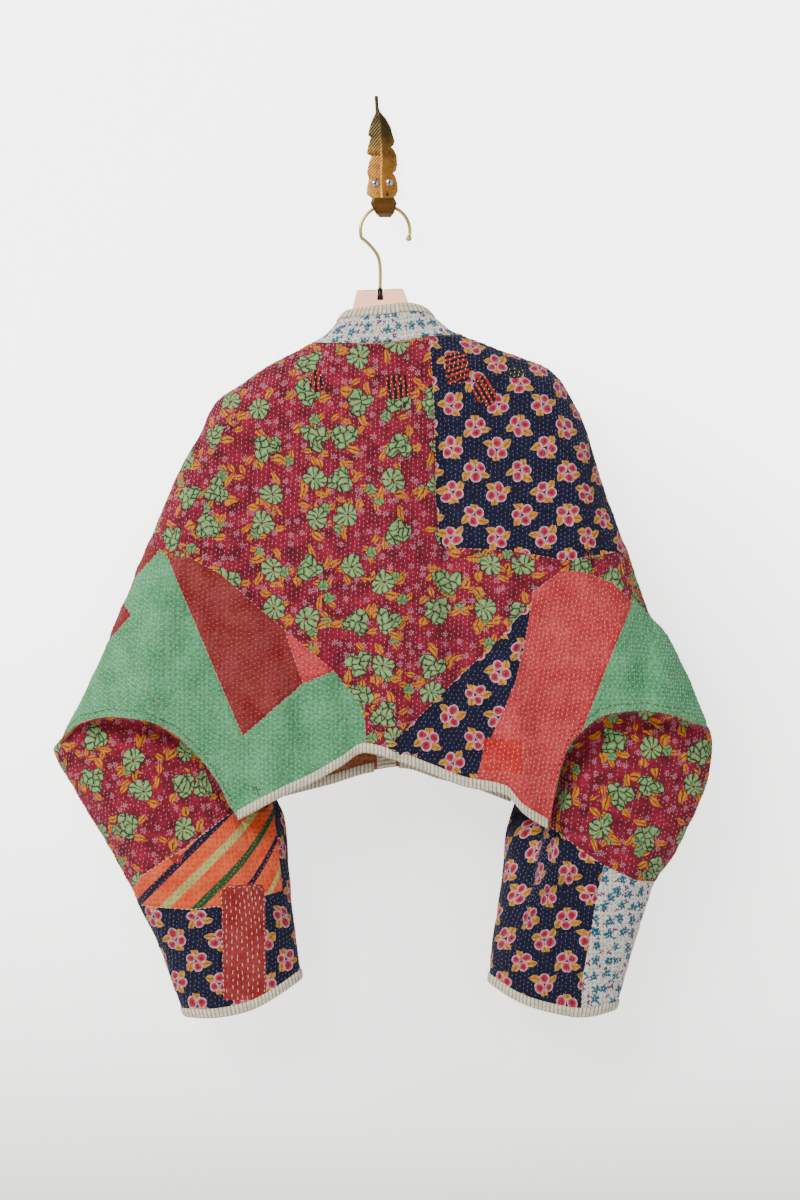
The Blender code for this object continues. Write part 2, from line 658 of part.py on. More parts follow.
def main():
    for piece in list(bpy.data.objects):
        bpy.data.objects.remove(piece)
    magenta = (0.33, 0.03, 0.075)
    neck_ends = (NECK_BACK[0][0], NECK_BACK[-1][0])
    hem_ends = (HEM_BACK[0][0], HEM_BACK[-1][0])
    back_columns = spaced(RIGHT_END_X, LEFT_END_X, COLUMN_STEP, (*hem_ends, *neck_ends))
    cloth = plain_material("back", magenta, 0.9)
    back = panel("back", back_columns, -1, neck_back, lower_back, BACK_ROWS, cloth)
    cream = (0.66, 0.6, 0.46)
    strip = plain_material("hem_back", cream, 0.9)
    binding_below("binding_hem_back", *back, back_columns, HEM_BACK[0][0], HEM_BACK[-1][0], strip)
    middle_x = NECK_MIDDLE[0]
    fronts = {
        "left": (LEFT_END_X, middle_x - FRONT_EDGE_X, HEM_FRONT[0][0]),
        "right": (middle_x + FRONT_EDGE_X, RIGHT_END_X, HEM_FRONT[-1][0]),
    }
    necks = []
    armholes = {
        "left": [(back_columns, *back, HEM_BACK[0][0])],
        "right": [(back_columns, *back, HEM_BACK[-1][0])],
    }
    for side_name, (start, end, corner) in fronts.items():
        neck_end = neck_ends[0] if side_name == "left" else neck_ends[1]
        columns = spaced(start, end, FRONT_COLUMN_STEP, (corner, neck_end))
        cloth = plain_material("front_" + side_name, magenta, 0.9)
        grid, normals = panel("front_" + side_name, columns, 1, neck_front, lower_front, FRONT_ROWS, cloth)
        necks.append((columns, grid))
        armholes[side_name].append((columns, grid, normals, corner))
        inside = end - HEM_BAND if side_name == "left" else start + HEM_BAND
        strip = plain_material("hem_" + side_name, cream, 0.9)
        binding_below("binding_hem_" + side_name, grid, normals, columns, corner, inside, strip)
        edge, beside = (-1, -2) if side_name == "left" else (0, 1)
        strip = plain_material("edge_" + side_name, cream, 0.9)
        binding("binding_edge_" + side_name, grid[edge], grid[beside], normals[edge], strip)
    for side_name in SLEEVES:
        cloth = plain_material("sleeve_" + side_name, magenta, 0.9)
        grid, normals = sleeve(side_name, armholes[side_name], cloth)
        strip = plain_material("cuff_" + side_name, cream, 0.9)
        edge, beside = grid[::2, -1], grid[::2, -2]
        binding("binding_cuff_" + side_name, edge, beside, normals[::2, -1], strip, around=True)
    necks.insert(1, (back_columns, back[0]))
    grid, normals = collar(necks, plain_material("collar", (0.62, 0.56, 0.52), 0.9))
    strip = plain_material("collar_edge", cream, 0.9)
    binding("binding_collar", grid[:, -1], grid[:, -2], normals[:, -1], strip, gap=COLLAR_BIND_GAP)
    hanger(plain_material("hanger", (0.5, 0.3, 0.26), 0.12))
    hanger_hook(plain_material("hanger_hook", (0.75, 0.62, 0.38), 0.25, 1.0))
    ferrule_path = [(STEM[0][0], HANGER_Y, z) for z in (-171.0, -165.0, -157.95)]
    dark = plain_material("ferrule", (0.05, 0.045, 0.04), 0.35, 1.0)
    rod("ferrule", ferrule_path, [FERRULE_RADIUS] * 3, 14, dark)
    wall_hook(plain_material("wall_hook", (0.36, 0.2, 0.06), 0.4, 1.0))
    screws(plain_material("screws", (0.6, 0.6, 0.6), 0.25, 1.0))


main()
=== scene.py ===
"""The patchwork jacket as it looks: cloth shells, prints, stitches, hanger and hook.

Sizes are in millimetres until they reach Blender. X runs to the photograph's right and Z up. The wall is
the plane Y = 0, and the jacket's back faces minus Y. Chart units are 1.15 mm, counted to the right of and
down from the middle of the hook's plate.
"""
import math

import bmesh
import bpy
import numpy as np
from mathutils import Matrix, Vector
from mathutils.kdtree import KDTree


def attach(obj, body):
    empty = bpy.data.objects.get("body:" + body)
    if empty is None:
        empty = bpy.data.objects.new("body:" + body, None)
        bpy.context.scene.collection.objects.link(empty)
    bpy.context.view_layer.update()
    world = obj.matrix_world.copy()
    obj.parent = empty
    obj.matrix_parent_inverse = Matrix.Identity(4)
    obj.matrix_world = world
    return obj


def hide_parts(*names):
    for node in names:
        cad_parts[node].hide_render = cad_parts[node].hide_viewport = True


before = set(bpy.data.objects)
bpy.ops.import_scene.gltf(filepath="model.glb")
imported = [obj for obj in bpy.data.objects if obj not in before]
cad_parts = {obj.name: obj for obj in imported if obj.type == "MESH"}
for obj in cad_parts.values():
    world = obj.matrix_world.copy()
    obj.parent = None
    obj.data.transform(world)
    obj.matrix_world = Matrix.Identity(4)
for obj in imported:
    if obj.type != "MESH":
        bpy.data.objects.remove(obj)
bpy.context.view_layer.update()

MM = 0.001
CHART = 1.15

# Cloth
CLOTH = 2.4
SEAM = 0.2
FOLD_Y = -42.0
BACK_CELL = 2.8
BACK_ROWS = 150
FRONT_CELL = 4.2
FRONT_ROWS = 95
PUCKER = 0.8
PUCKER_PITCH = 11.0

# Running stitches: distance along a row, between rows, and each stitch's own sizes
STITCH_PITCH = 5.2
ROW_PITCH = 4.9
STITCH = 1.7
STITCH_WIDTH = 0.66
STITCH_HEIGHT = 0.5
STITCH_LIFT = 0.12
LONG_STITCH_PITCH = 8.8
LONG_ROW_PITCH = 6.0
LONG_STITCH = 3.8

LEFT_END_X = -371.0
RIGHT_END_X = 374.0
FRONT_EDGE_X = 1.8
MIDDLE_X = 5.0
NECK_SEAM = 1.0
COLLAR_ROWS = 16
COLLAR_SOFTENING = 60
TAPE_PITCH = 4.6
TAPE_HEIGHT = 9.5

# The tape's section: how far outward from the cloth's edge, how far up from it
TAPE_SECTION = [
    (0.2, TAPE_HEIGHT), (1.0, TAPE_HEIGHT), (1.5, TAPE_HEIGHT - 0.6), (1.7, 6.0), (1.8, 3.0), (1.6, 0.4),
    (0.9, -1.3), (-0.3, -2.1), (-1.2, -2.3), (-2.1, -2.1), (-3.3, -1.3), (-4.0, 0.4), (-4.2, 3.0),
    (-4.1, 6.0), (-3.9, TAPE_HEIGHT - 0.6), (-3.4, TAPE_HEIGHT), (-2.6, TAPE_HEIGHT), (-2.6, -0.3),
    (0.2, -0.3),
]

# Overarm fold: x, z
OVERARM_LEFT = [
    (-376, -692), (-353, -644), (-317, -567), (-298, -520), (-273, -459), (-232, -365),
    (-222, -345), (-208, -322), (-200, -302), (-192, -289), (-162, -268), (-127, -246), (-83, -222),
]
NECK_PEAK = [(-45, -196), (5, -184), (55, -192)]
OVERARM_RIGHT = [
    (94, -213), (117, -221), (141, -231), (166, -240), (193, -252), (204, -262), (217, -283),
    (230, -307), (243, -345), (252, -375), (282, -458), (309, -535), (329, -558), (354, -610), (378, -665),
]
NECK_BACK = [(-83, -222), (-32, -224), (18, -222), (55, -216), (94, -213)]
NECK_FRONT = [(-83, -222), (-62, -247), (-34, -269), (6, -281), (40, -268), (70, -243), (94, -213)]

# Lower edges: x, z
ARMHOLE_BACK_LEFT = [
    (-376, -692), (-367, -679), (-344, -658), (-306, -650), (-267, -654), (-235, -669),
    (-212, -690), (-187, -722), (-170, -754), (-163, -765),
]
HEM_BACK = [
    (-163, -765), (-120, -742), (-77, -722), (-46, -704), (-20, -689), (23, -700), (55, -712),
    (94, -727), (141, -737), (160, -757), (190, -776),
]
ARMHOLE_BACK_RIGHT = [
    (190, -776), (198, -728), (213, -681), (230, -664), (247, -650), (266, -645), (300, -643),
    (336, -650), (357, -658), (378, -665),
]
ARMHOLE_FRONT_LEFT = [
    (-376, -692), (-344, -662), (-306, -652), (-267, -656), (-235, -669), (-205, -690),
    (-170, -716), (-135, -738), (-120, -746),
]
HEM_FRONT = [
    (-120, -746), (-61, -731), (-14, -717), (23, -712), (68, -725), (94, -731), (152, -752),
]
ARMHOLE_FRONT_RIGHT = [
    (152, -752), (175, -733), (205, -698), (235, -665), (266, -648), (300, -645), (336, -652), (378, -665),
]

# How full the body hangs: z, radius of the turn at the fold, depth of the back, depth of the fronts
BODY_DEPTH = [
    (-780, 72, 50, 33), (-640, 70, 50, 32), (-520, 66, 44, 30), (-400, 58, 35, 27),
    (-300, 46, 26, 23), (-222, 40, 21, 20), (-170, 40, 21, 20),
]
# Soft folds of the back: x at the top, x at the bottom, top z, bottom z, half width, depth outward
BACK_FOLDS = [
    (9, 14, -270, -640, 26, 5.0),
    (66, 84, -290, -600, 24, -7.5),
    (128, 164, -420, -745, 26, 7.0),
    (-160, -84, -420, -660, 26, -6.5),
    (-52, -24, -560, -700, 20, -6.0),
    (-110, -130, -560, -760, 30, 6.0),
    (-250, -272, -500, -650, 40, 7.0),
    (262, 300, -520, -640, 40, 7.0),
]

# Sleeves. Outline: x, z, from the wing tip down to the cuff, and across the cuff from outer to inner side
SLEEVES = {
    "left": {
        "sign": 1,
        "outer": [(-372, -686), (-377, -697), (-335, -769), (-293, -842), (-281, -868), (-255, -926),
                  (-229, -996)],
        "inner": [(-132, -757), (-118, -782), (-112, -815), (-105, -872), (-93, -953)],
        "cuff": [(-229, -996), (-187, -994), (-144, -983), (-93, -953)],
    },
    "right": {
        "sign": -1,
        "outer": [(375, -660), (380, -672), (380, -702), (370, -739), (338, -807), (315, -842), (304, -872),
                  (289, -921), (271, -988)],
        "inner": [(164, -764), (148, -792), (139, -845), (130, -895), (123, -957)],
        "cuff": [(271, -988), (230, -994), (189, -987), (156, -976), (123, -957)],
    },
}
# Sleeve: share of the way down, middle y, depth of its back, depth of its front
SLEEVE_DEPTH = [
    (0.0, -42, 20, 30), (0.05, -43, 22, 31), (0.25, -45, 34, 32), (0.5, -44, 38, 31),
    (0.75, -42, 31, 26), (1.0, -40, 25, 21),
]
# Soft creases of the sleeves' backs: share across, share down, half widths across and down, depth outward
SLEEVE_FOLDS = {
    "left": [
        (0.28, 0.24, 0.2, 0.1, -5.0), (0.6, 0.4, 0.25, 0.08, 4.0), (0.35, 0.6, 0.3, 0.06, -4.5),
        (0.7, 0.78, 0.14, 0.2, 3.5),
    ],
    "right": [
        (0.3, 0.2, 0.2, 0.1, 5.0), (0.6, 0.32, 0.2, 0.1, -5.0), (0.45, 0.56, 0.3, 0.06, -4.5),
        (0.3, 0.76, 0.14, 0.2, 3.5),
    ],
}
SLEEVE_COLUMNS = 96
SLEEVE_ROWS = 110
# The first rows below the armhole, as shares of the way down
SLEEVE_HEAD_ROWS = [0, 0.003, 0.008, 0.014, 0.022, 0.032, 0.045]

# Collar: share of the way round from the front left edge, lean towards the middle, rise
COLLAR_RISE = [
    (0.0, 0.05, 40), (0.16, 0.2, 41), (0.32, 0.34, 38), (0.42, 0.38, 41), (0.5, 0.38, 42.5),
    (0.6, 0.38, 40), (0.68, 0.37, 31), (0.84, 0.2, 40), (1.0, 0.05, 40),
]

# Hanger outline: x, z, clockwise from the left of its neck
HANGER_Y = -40.0
HANGER_THICK = 9.0
HANGER_OUTLINE = [
    (-29, -160), (-5.75, -159), (-5.75, -171.35), (1.35, -171.35), (1.35, -159), (24, -158),
    (29, -170), (36, -196), (60, -222), (94, -238), (141, -250), (184, -264), (200, -280),
    (206, -300), (198, -318), (186, -322), (150, -296), (100, -276), (50, -264), (5, -262),
    (-50, -266), (-100, -284), (-140, -306), (-172, -326), (-186, -326), (-192, -312), (-184, -298),
    (-160, -284), (-127, -266), (-83, -253), (-50, -230), (-38, -200), (-33, -176),
]
# Hanger hook, up from the ferrule: x, z, then an arch from one angle to another, and its ball end
STEM = [(-2.2, -157.6), (-2.2, -134), (-4.5, -121), (-10.5, -111.5), (-19, -102.5)]
ARCH_X, ARCH_Z, ARCH_RADIUS = 3.5, -90.7, 28.5
ARCH_FROM, ARCH_TO = 197.0, -12.0
WIRE_RADIUS = 2.0
BALL_RADIUS = 3.4
BALL_REACH = 2.9
FERRULE_RADIUS = 3.2

# Wall hook, from the stem's tip down: x, y, z, half width left and right, reach to the front and to the back
LEAF = [
    (-7.5, -4, 73, 1.8, 1.8, 1.6, 4), (-6.5, -4, 62, 2.0, 2.0, 1.8, 4), (-4, -4, 52, 3.2, 3.0, 2.2, 4),
    (-3, -4, 44, 8.5, 7.5, 2.6, 4), (-2, -4, 40, 7.0, 9.5, 2.8, 4), (-1.5, -4, 32, 13, 12.5, 3.0, 4),
    (-1, -4, 26, 11, 13.5, 3.0, 4), (0, -4, 16, 15.5, 15.5, 3.1, 4), (0, -4, 10, 12.5, 13, 3.1, 4),
    (0.5, -4, 1, 17, 17.5, 3.2, 4), (0.5, -4, -7, 13.5, 15.5, 3.2, 4), (0, -4, -16, 18, 18, 3.3, 4),
    (0, -4, -22, 14.5, 15.5, 3.3, 4), (0, -4, -34, 17.5, 17.5, 3.3, 4), (0.5, -4.4, -43, 13, 14, 3.6, 3.8),
    (1, -6.5, -53, 9.5, 9.5, 4, 4), (2, -13.5, -62.5, 7.5, 7.5, 4.4, 4.4), (2.5, -26, -68, 7, 7, 4.8, 4.8),
    (3.5, -40, -70.2, 7, 7, 5, 5), (3, -50, -68, 12, 12, 4.4, 4.4), (2.5, -56, -62.5, 16, 15, 3.4, 3.4),
    (2, -58, -55.5, 13, 12, 2.2, 2.2),
]
# The flat leaf's lobed edges, from the stem down: x, z
LEAF_LEFT = [
    (-9.3, 74), (-8.3, 60), (-8.2, 52.5), (-13.4, 42), (-16.4, 30), (-16.8, 27), (-13.6, 24.5), (-16.6, 15),
    (-18.2, 7), (-18.0, 5), (-12.4, 2.8), (-15.6, -5), (-18.0, -15), (-17.6, -19), (-15.6, -24.5),
    (-17.9, -33), (-18.4, -42), (-14.5, -46), (-9.5, -51), (-9, -56),
]
LEAF_RIGHT = [
    (-5.0, 74), (-4.4, 60), (-2.4, 54), (4.6, 46), (9.9, 36), (12.0, 28), (14.6, 20), (13.2, 15),
    (10.2, 13.5), (14.0, 9), (16.8, 3), (17.6, -8), (16.0, -15), (12.4, -17), (15.6, -22), (17.8, -30),
    (18.4, -38), (16.0, -44), (10.5, -51), (10.5, -56),
]
LEAF_STEPS = 190
LEAF_COLUMNS = 33
VEIN_PITCH = 4.0
SCREWS = {"left": (-8.3, -30.0), "right": (8.3, -29.0)}
SCREW_Y = -7.05
SCREW_RADIUS = 4.6
SCREW_DOME = 2.8

# Patches, each laid over those before it: cloth, angle of its stitch rows in degrees, corners in chart units
BACK_PATCHES = [
    ("navy", 88, [
        (46, 180), (49, 210), (52, 259), (54, 347), (58, 398), (128, 401), (182, 411), (204, 407),
        (262, 398), (290, 180)]),
    ("navy", 60, [
        (-14, 595), (6, 593), (24, 578), (72, 530), (115, 489), (148, 452), (148, 700), (-14, 700)]),
    ("coral", 78, [
        (148, 442), (178, 421), (198, 422), (228, 433), (247, 450), (247, 457), (228, 500), (198, 578),
        (172, 700), (70, 700), (91, 635), (100, 600), (116, 568), (132, 529), (141, 491), (148, 452)]),
    ("bright_red", 82, [(100, 586), (139, 588), (138, 621), (99, 618)]),
    ("mint", 64, [
        (249, 448), (269, 465), (286, 485), (360, 560), (360, 640), (150, 720), (172, 678), (198, 578),
        (228, 500), (247, 457)]),
    ("mint", -28, [
        (-220, 400), (-214, 403), (-137, 584), (-78, 533), (-47, 520), (-24, 550), (-17, 570),
        (-15, 595), (-12, 700), (-150, 720), (-380, 690), (-380, 500), (-276, 493), (-249, 465),
        (-259, 452), (-247, 428)]),
    ("dark_red", 66, [(-262, 418), (-240, 392), (-220, 400), (-247, 428)]),
    ("dark_red", 66, [(-300, 482), (-262, 456), (-249, 465), (-276, 493)]),
    ("dark_red", 24, [
        (-214, 403), (-190, 408), (-158, 425), (-122, 457), (-96, 479), (-78, 532), (-137, 584)]),
    ("coral", 30, [(-96, 479), (-47, 520), (-78, 532)]),
    ("darn", 80, [
        (-71, 224), (-66, 220), (-62, 221), (-59, 232), (-56, 240), (-61, 243), (-67, 244),
        (-72, 236)]),
    ("darn", 80, [(3, 228), (11, 226), (27, 226), (29, 238), (28, 247), (18, 250), (6, 251), (4, 240)]),
    ("darn_slant", 80, [
        (62, 206), (70, 203), (83, 202), (86, 214), (88, 231), (79, 234), (66, 236), (63, 222)]),
    ("darn_steep", 62, [
        (94, 228), (101, 226), (109, 231), (114, 245), (112, 254), (105, 258), (95, 252), (90, 240)]),
    ("darn_green", 80, [(123, 221), (130, 217), (139, 218), (142, 224), (137, 229), (127, 229)]),
]
LEFT_SLEEVE_PATCHES = [
    ("stripe", 46, [
        (-262, 745), (-248, 737), (-240, 725), (-214, 707), (-197, 697), (-146, 658), (-110, 630),
        (-60, 640), (-60, 738), (-102, 740), (-158, 753), (-189, 757), (-243, 755), (-262, 758)]),
    ("navy", 86, [
        (-262, 758), (-243, 755), (-189, 757), (-158, 753), (-102, 740), (-60, 738), (-50, 900),
        (-262, 900)]),
    ("navy", 86, [(-116, 636), (-110, 658), (-104, 690), (-101, 722), (-100, 745), (-50, 745), (-50, 636)]),
    ("red", 90, [
        (-158, 848), (-159, 739), (-156, 734), (-146, 732), (-127, 731), (-119, 733), (-116, 738),
        (-115, 848)]),
    ("red", 90, [(-211, 706), (-204, 701), (-196, 704), (-202, 712)]),
]
RIGHT_SLEEVE_PATCHES = [
    ("navy", 86, [
        (90, 600), (140, 655), (166, 674), (182, 686), (218, 712), (220, 712), (213, 745), (208, 778),
        (200, 822), (198, 880), (80, 880)]),
    ("white", 86, [
        (220, 712), (251, 728), (274, 732), (320, 740), (320, 880), (198, 880), (200, 822), (208, 778),
        (213, 745)]),
]
# Quilting thread as it looks, sunk and rubbed, on each cloth
THREAD_ON = {
    "magenta": "rose", "navy": "lavender", "coral": "salmon", "bright_red": "salmon", "dark_red": "brick",
    "mint": "pale_mint", "stripe": "brick", "red": "cream", "white": "cream", "darn": "cream",
    "darn_slant": "cream", "darn_steep": "cream", "darn_green": "cream",
}
# Seams and edges sewn over with pale thread: corners in chart units
BACK_SEAMS = [
    [(46, 192), (49, 210), (52, 259), (54, 347), (58, 398), (128, 401), (182, 411), (204, 407),
     (243, 399)],
    [(-12, 594), (6, 593), (24, 578), (72, 530), (115, 489), (146, 453)],
    [(149, 443), (178, 421), (198, 422), (228, 433), (247, 450), (247, 457), (228, 500), (198, 578),
     (180, 640)],
    [(249, 449), (269, 465), (284, 482)],
    [(-214, 403), (-190, 408), (-158, 425), (-122, 457), (-96, 479), (-47, 520), (-24, 550), (-17, 570),
     (-15, 590)],
    [(-214, 405), (-137, 584), (-78, 532), (-47, 520)],
    [(-96, 480), (-78, 531)],
    [(-250, 498), (-215, 564)],
    [(-222, 401), (-247, 428), (-259, 452), (-249, 465), (-274, 491)],
]
LEFT_SLEEVE_SEAMS = [
    [(-246, 736), (-240, 725), (-214, 707), (-197, 697), (-146, 659)],
    [(-241, 755), (-189, 757), (-158, 753)],
    [(-157, 845), (-158, 740), (-154, 735), (-127, 733), (-120, 735), (-117, 741), (-117, 845)],
]
RIGHT_SLEEVE_SEAMS = [
    [(167, 675), (182, 686), (218, 712), (251, 728), (272, 732)],
    [(220, 713), (213, 745), (208, 778), (200, 822), (198, 855)],
]
# Dark marks on the green cloth: corners in chart units
MARKS = [[(-127, 632), (-125, 641)], [(-124, 633), (-121, 642)], [(-125, 635), (-119, 636)]]
# Stripes of the orange cloth: distance of the middle along the stripes' square direction, half width, colour
STRIPES = [
    (414, 4.1, "navy_thread"), (438.7, 4.5, "pale_green"), (465, 4.3, "green"),
    (492, 3.7, "navy_thread"), (524, 3.7, "pale_green"),
]
# Where they begin to steepen, and how fast
STRIPE_TURN_X = -184.0
STRIPE_TURN = 0.0001


def eased(rows, column=1):
    """A smooth curve through a table's first column and another, with no overshoot."""
    table = sorted((row[0], row[column]) for row in rows)
    xs = np.array([row[0] for row in table], float)
    ys = np.array([row[1] for row in table], float)
    steps = np.diff(xs)
    slopes = np.diff(ys) / steps
    tangents = np.zeros(len(xs))
    tangents[0], tangents[-1] = slopes[0], slopes[-1]
    for i in range(1, len(xs) - 1):
        if slopes[i - 1] * slopes[i] > 0:
            before = 2 * steps[i] + steps[i - 1]
            after = steps[i] + 2 * steps[i - 1]
            tangents[i] = (before + after) / (before / slopes[i - 1] + after / slopes[i])

    def value(x):
        x = np.asarray(x, float)
        i = np.clip(np.searchsorted(xs, x) - 1, 0, len(steps) - 1)
        t = np.clip((x - xs[i]) / steps[i], 0.0, 1.0)
        rise = (ys[i + 1] - ys[i]) * t * t * (3 - 2 * t)
        lead = tangents[i] * steps[i] * t * (1 - t) ** 2
        tail = tangents[i + 1] * steps[i] * t * t * (t - 1)
        return ys[i] + rise + lead + tail

    return value


def joined(*tables):
    """One z for each x, from tables side by side, so that the corners between them stay sharp."""
    curves = [(max(row[0] for row in table), eased(table)) for table in tables]

    def value(x):
        for end, curve in curves[:-1]:
            if x <= end:
                return float(curve(x))
        return float(curves[-1][1](x))

    return value


def run_along(points):
    """The distance gone at each point of a path."""
    return np.concatenate([[0], np.cumsum(np.linalg.norm(np.diff(points, axis=0), axis=1))])


def traced(points):
    """A path through points, given by its share of length."""
    points = np.array(points, float)
    ends = np.vstack([2 * points[0] - points[1], points, 2 * points[-1] - points[-2]])
    fine = []
    for i in range(len(points) - 1):
        a, b, c, d = ends[i:i + 4]
        for t in np.linspace(0, 1, 12, endpoint=False):
            square, cube = 2 * a - 5 * b + 4 * c - d, 3 * b - a - 3 * c + d
            fine.append(0.5 * (2 * b + (c - a) * t + square * t ** 2 + cube * t ** 3))
    fine = np.array(fine + [points[-1]])
    run = run_along(fine)
    run /= run[-1]
    return lambda share: np.array([np.interp(share, run, fine[:, k]) for k in range(fine.shape[1])])


fold_line = eased(OVERARM_LEFT + NECK_PEAK + OVERARM_RIGHT)
neck_back = eased(NECK_BACK)
neck_front = eased(NECK_FRONT)
lower_back = joined(ARMHOLE_BACK_LEFT, HEM_BACK, ARMHOLE_BACK_RIGHT)
lower_front = joined(ARMHOLE_FRONT_LEFT, HEM_FRONT, ARMHOLE_FRONT_RIGHT)
turn_radius = eased(BODY_DEPTH, 1)
back_depth = eased(BODY_DEPTH, 2)
front_depth = eased(BODY_DEPTH, 3)


def fold_slope(x):
    return (fold_line(x + 8) - fold_line(x - 8)) / 16


def bump(offset):
    return np.where(np.abs(offset) < 1, np.cos(np.pi / 2 * np.clip(offset, -1, 1)) ** 2, 0.0)


def body_y(x, z, side):
    """Y of the body's outer skin at arrays of x and z. Side is -1 for the back and 1 for the fronts."""
    below = np.maximum(fold_line(x) - z, 0.0) / np.hypot(1, fold_slope(x))
    turn = np.minimum(below / turn_radius(z), 1.0)
    full = np.sqrt(1 - (1 - turn) ** 2)
    if side > 0:
        return FOLD_Y + front_depth(z) * full
    folds = 0.0
    for x_top, x_bottom, z_top, z_bottom, half, out in BACK_FOLDS:
        down = (z_top - z) / (z_top - z_bottom)
        ease = np.clip(4 * down, 0, 1) * np.clip(4 * (1.25 - down), 0, 1)
        ease = np.where((down > 0) & (down < 1.15), ease, 0.0)
        folds = folds + out * ease * bump((x - x_top - (x_bottom - x_top) * down) / half)
    return FOLD_Y - back_depth(z) * full - folds * turn


def smooth_noise(u, v, pitch, seed):
    """Even-tempered noise from -1 to 1 over two arrays, with a fixed seed."""
    def corner(i, j):
        value = np.sin(i * 127.1 + j * 311.7 + seed * 74.7) * 43758.5453
        return 2 * (value - np.floor(value)) - 1

    a, b = u / pitch, v / pitch
    i, j = np.floor(a), np.floor(b)
    s, t = a - i, b - j
    s, t = s * s * (3 - 2 * s), t * t * (3 - 2 * t)
    low = corner(i, j) * (1 - s) + corner(i + 1, j) * s
    high = corner(i, j + 1) * (1 - s) + corner(i + 1, j + 1) * s
    return low * (1 - t) + high * t


def puckers(u, v):
    """How far hand quilting raises the cloth at its own coordinates."""
    drift = 2.4 * smooth_noise(u, v, 38, 3)
    rows = np.sin(2 * np.pi * (u + drift) / PUCKER_PITCH) * (0.6 + 0.4 * smooth_noise(u, v, 9, 5))
    fine = 0.5 * rows + 0.55 * smooth_noise(u, v, 13, 7) + 0.35 * smooth_noise(u, v, 6.5, 11)
    return PUCKER * fine + 1.0 * smooth_noise(u, v, 47, 2) + 0.75 * smooth_noise(u, v, 25, 9)


def column_heights(x, top, bottom, rows):
    """Where a column's points lie: close together in the turn at the fold, then even to the lower edge."""
    lean = math.hypot(1, float(fold_slope(x)))
    radius = float(turn_radius(top))
    begun = min(max((float(fold_line(x)) - top) / lean / radius, 0.0), 1.0)
    start = math.acos(1 - begun)
    turn_rows = rows // 6
    reach = min(max(radius * lean * math.cos(start), 0.1 * (top - bottom)), 0.55 * (top - bottom))
    upper = []
    for k in range(turn_rows):
        angle = start + (math.pi / 2 - start) * k / (turn_rows - 1)
        gone = k / (turn_rows - 1)
        if math.cos(start) > 0.02:
            gone = (math.cos(start) - math.cos(angle)) / math.cos(start)
        upper.append(top - reach * gone)
    return np.array(upper + list(np.linspace(upper[-1], bottom, rows - turn_rows + 1)[1:]))


def panel_grid(columns, side, neck, lower, rows):
    """A body panel's skin and its cloth coordinates, columns by rows."""
    grid = np.zeros((len(columns), rows, 3))
    for i, x in enumerate(columns):
        open_top = NECK_BACK[0][0] < x < NECK_BACK[-1][0]
        top = float(neck(x)) if open_top else float(fold_line(x))
        z = column_heights(x, top, lower(x), rows)
        grid[i, :, 0] = x
        grid[i, :, 1] = body_y(np.full(rows, x), z, side) + side * SEAM / 2
        grid[i, :, 2] = z
    slope = fold_slope(grid[..., 0])
    lean = np.hypot(1, slope)
    below = np.maximum(fold_line(grid[..., 0]) - grid[..., 2], 0) / lean
    radius = turn_radius(grid[..., 2])
    angle = np.arccos(1 - np.minimum(below / radius, 1.0))
    extra = 0.45 * radius * (1 - angle / (np.pi / 2)) ** 1.5
    cloth = np.stack([grid[..., 0] - extra * slope / lean, grid[..., 2] + extra / lean], axis=2)
    return grid, cloth


def skin_normals(grid):
    along = np.gradient(grid, axis=0)
    down = np.gradient(grid, axis=1)
    normals = np.cross(along, down)
    return normals / np.maximum(np.linalg.norm(normals, axis=2, keepdims=True), 1e-9)


def inside(points, corners):
    """Which of the points lie in a polygon."""
    x, y = points[:, 0], points[:, 1]
    hit = np.zeros(len(points), bool)
    for (ax, ay), (bx, by) in zip(corners, corners[1:] + corners[:1]):
        if ay != by:
            crosses = (ay > y) != (by > y)
            hit ^= crosses & (x < (bx - ax) * (y - ay) / (by - ay) + ax)
    return hit


def on_chart(corners):
    return [(right * CHART, -down * CHART) for right, down in corners]


def patch_at(points, patches):
    """The number of the uppermost patch at each point, 0 where there is none."""
    number = np.zeros(len(points), int)
    for k, (_, _, corners) in enumerate(patches):
        number[inside(points, on_chart(corners))] = k + 1
    return number


def cut_along(shape, corners):
    """Cuts the faces near each edge of a patch, so that the patch ends on real edges."""
    corners = on_chart(corners)
    for (ax, az), (bx, bz) in zip(corners, corners[1:] + corners[:1]):
        lo_x, hi_x, lo_z, hi_z = min(ax, bx) - 3, max(ax, bx) + 3, min(az, bz) - 3, max(az, bz) + 3
        near = [f for f in shape.faces if lo_x < f.verts[0].co.x < hi_x and lo_z < f.verts[0].co.z < hi_z]
        if not near:
            continue
        edges = {e for f in near for e in f.edges}
        verts = {v for f in near for v in f.verts}
        bmesh.ops.bisect_plane(
            shape, geom=near + list(edges) + list(verts), dist=0.02,
            plane_co=(ax, 0, az), plane_no=(bz - az, 0, ax - bx),
        )


def ramp(rows_in, still):
    """0 within the still rows beside an edge, then rising to 1 over as many again."""
    return 1.0 if still == 0 else min(max(rows_in / still - 1.0, 0.0), 1.0)


def line_distance(points, lines):
    """How far each point is from the nearest of several lines."""
    best = np.full(len(points), 1e9)
    for line in lines:
        line = np.array(line)
        for a, b in zip(line, line[1:]):
            along = b - a
            share = np.clip(((points - a) @ along) / max(along @ along, 1e-9), 0, 1)
            best = np.minimum(best, np.linalg.norm(points - a - share[:, None] * along, axis=1))
    return best


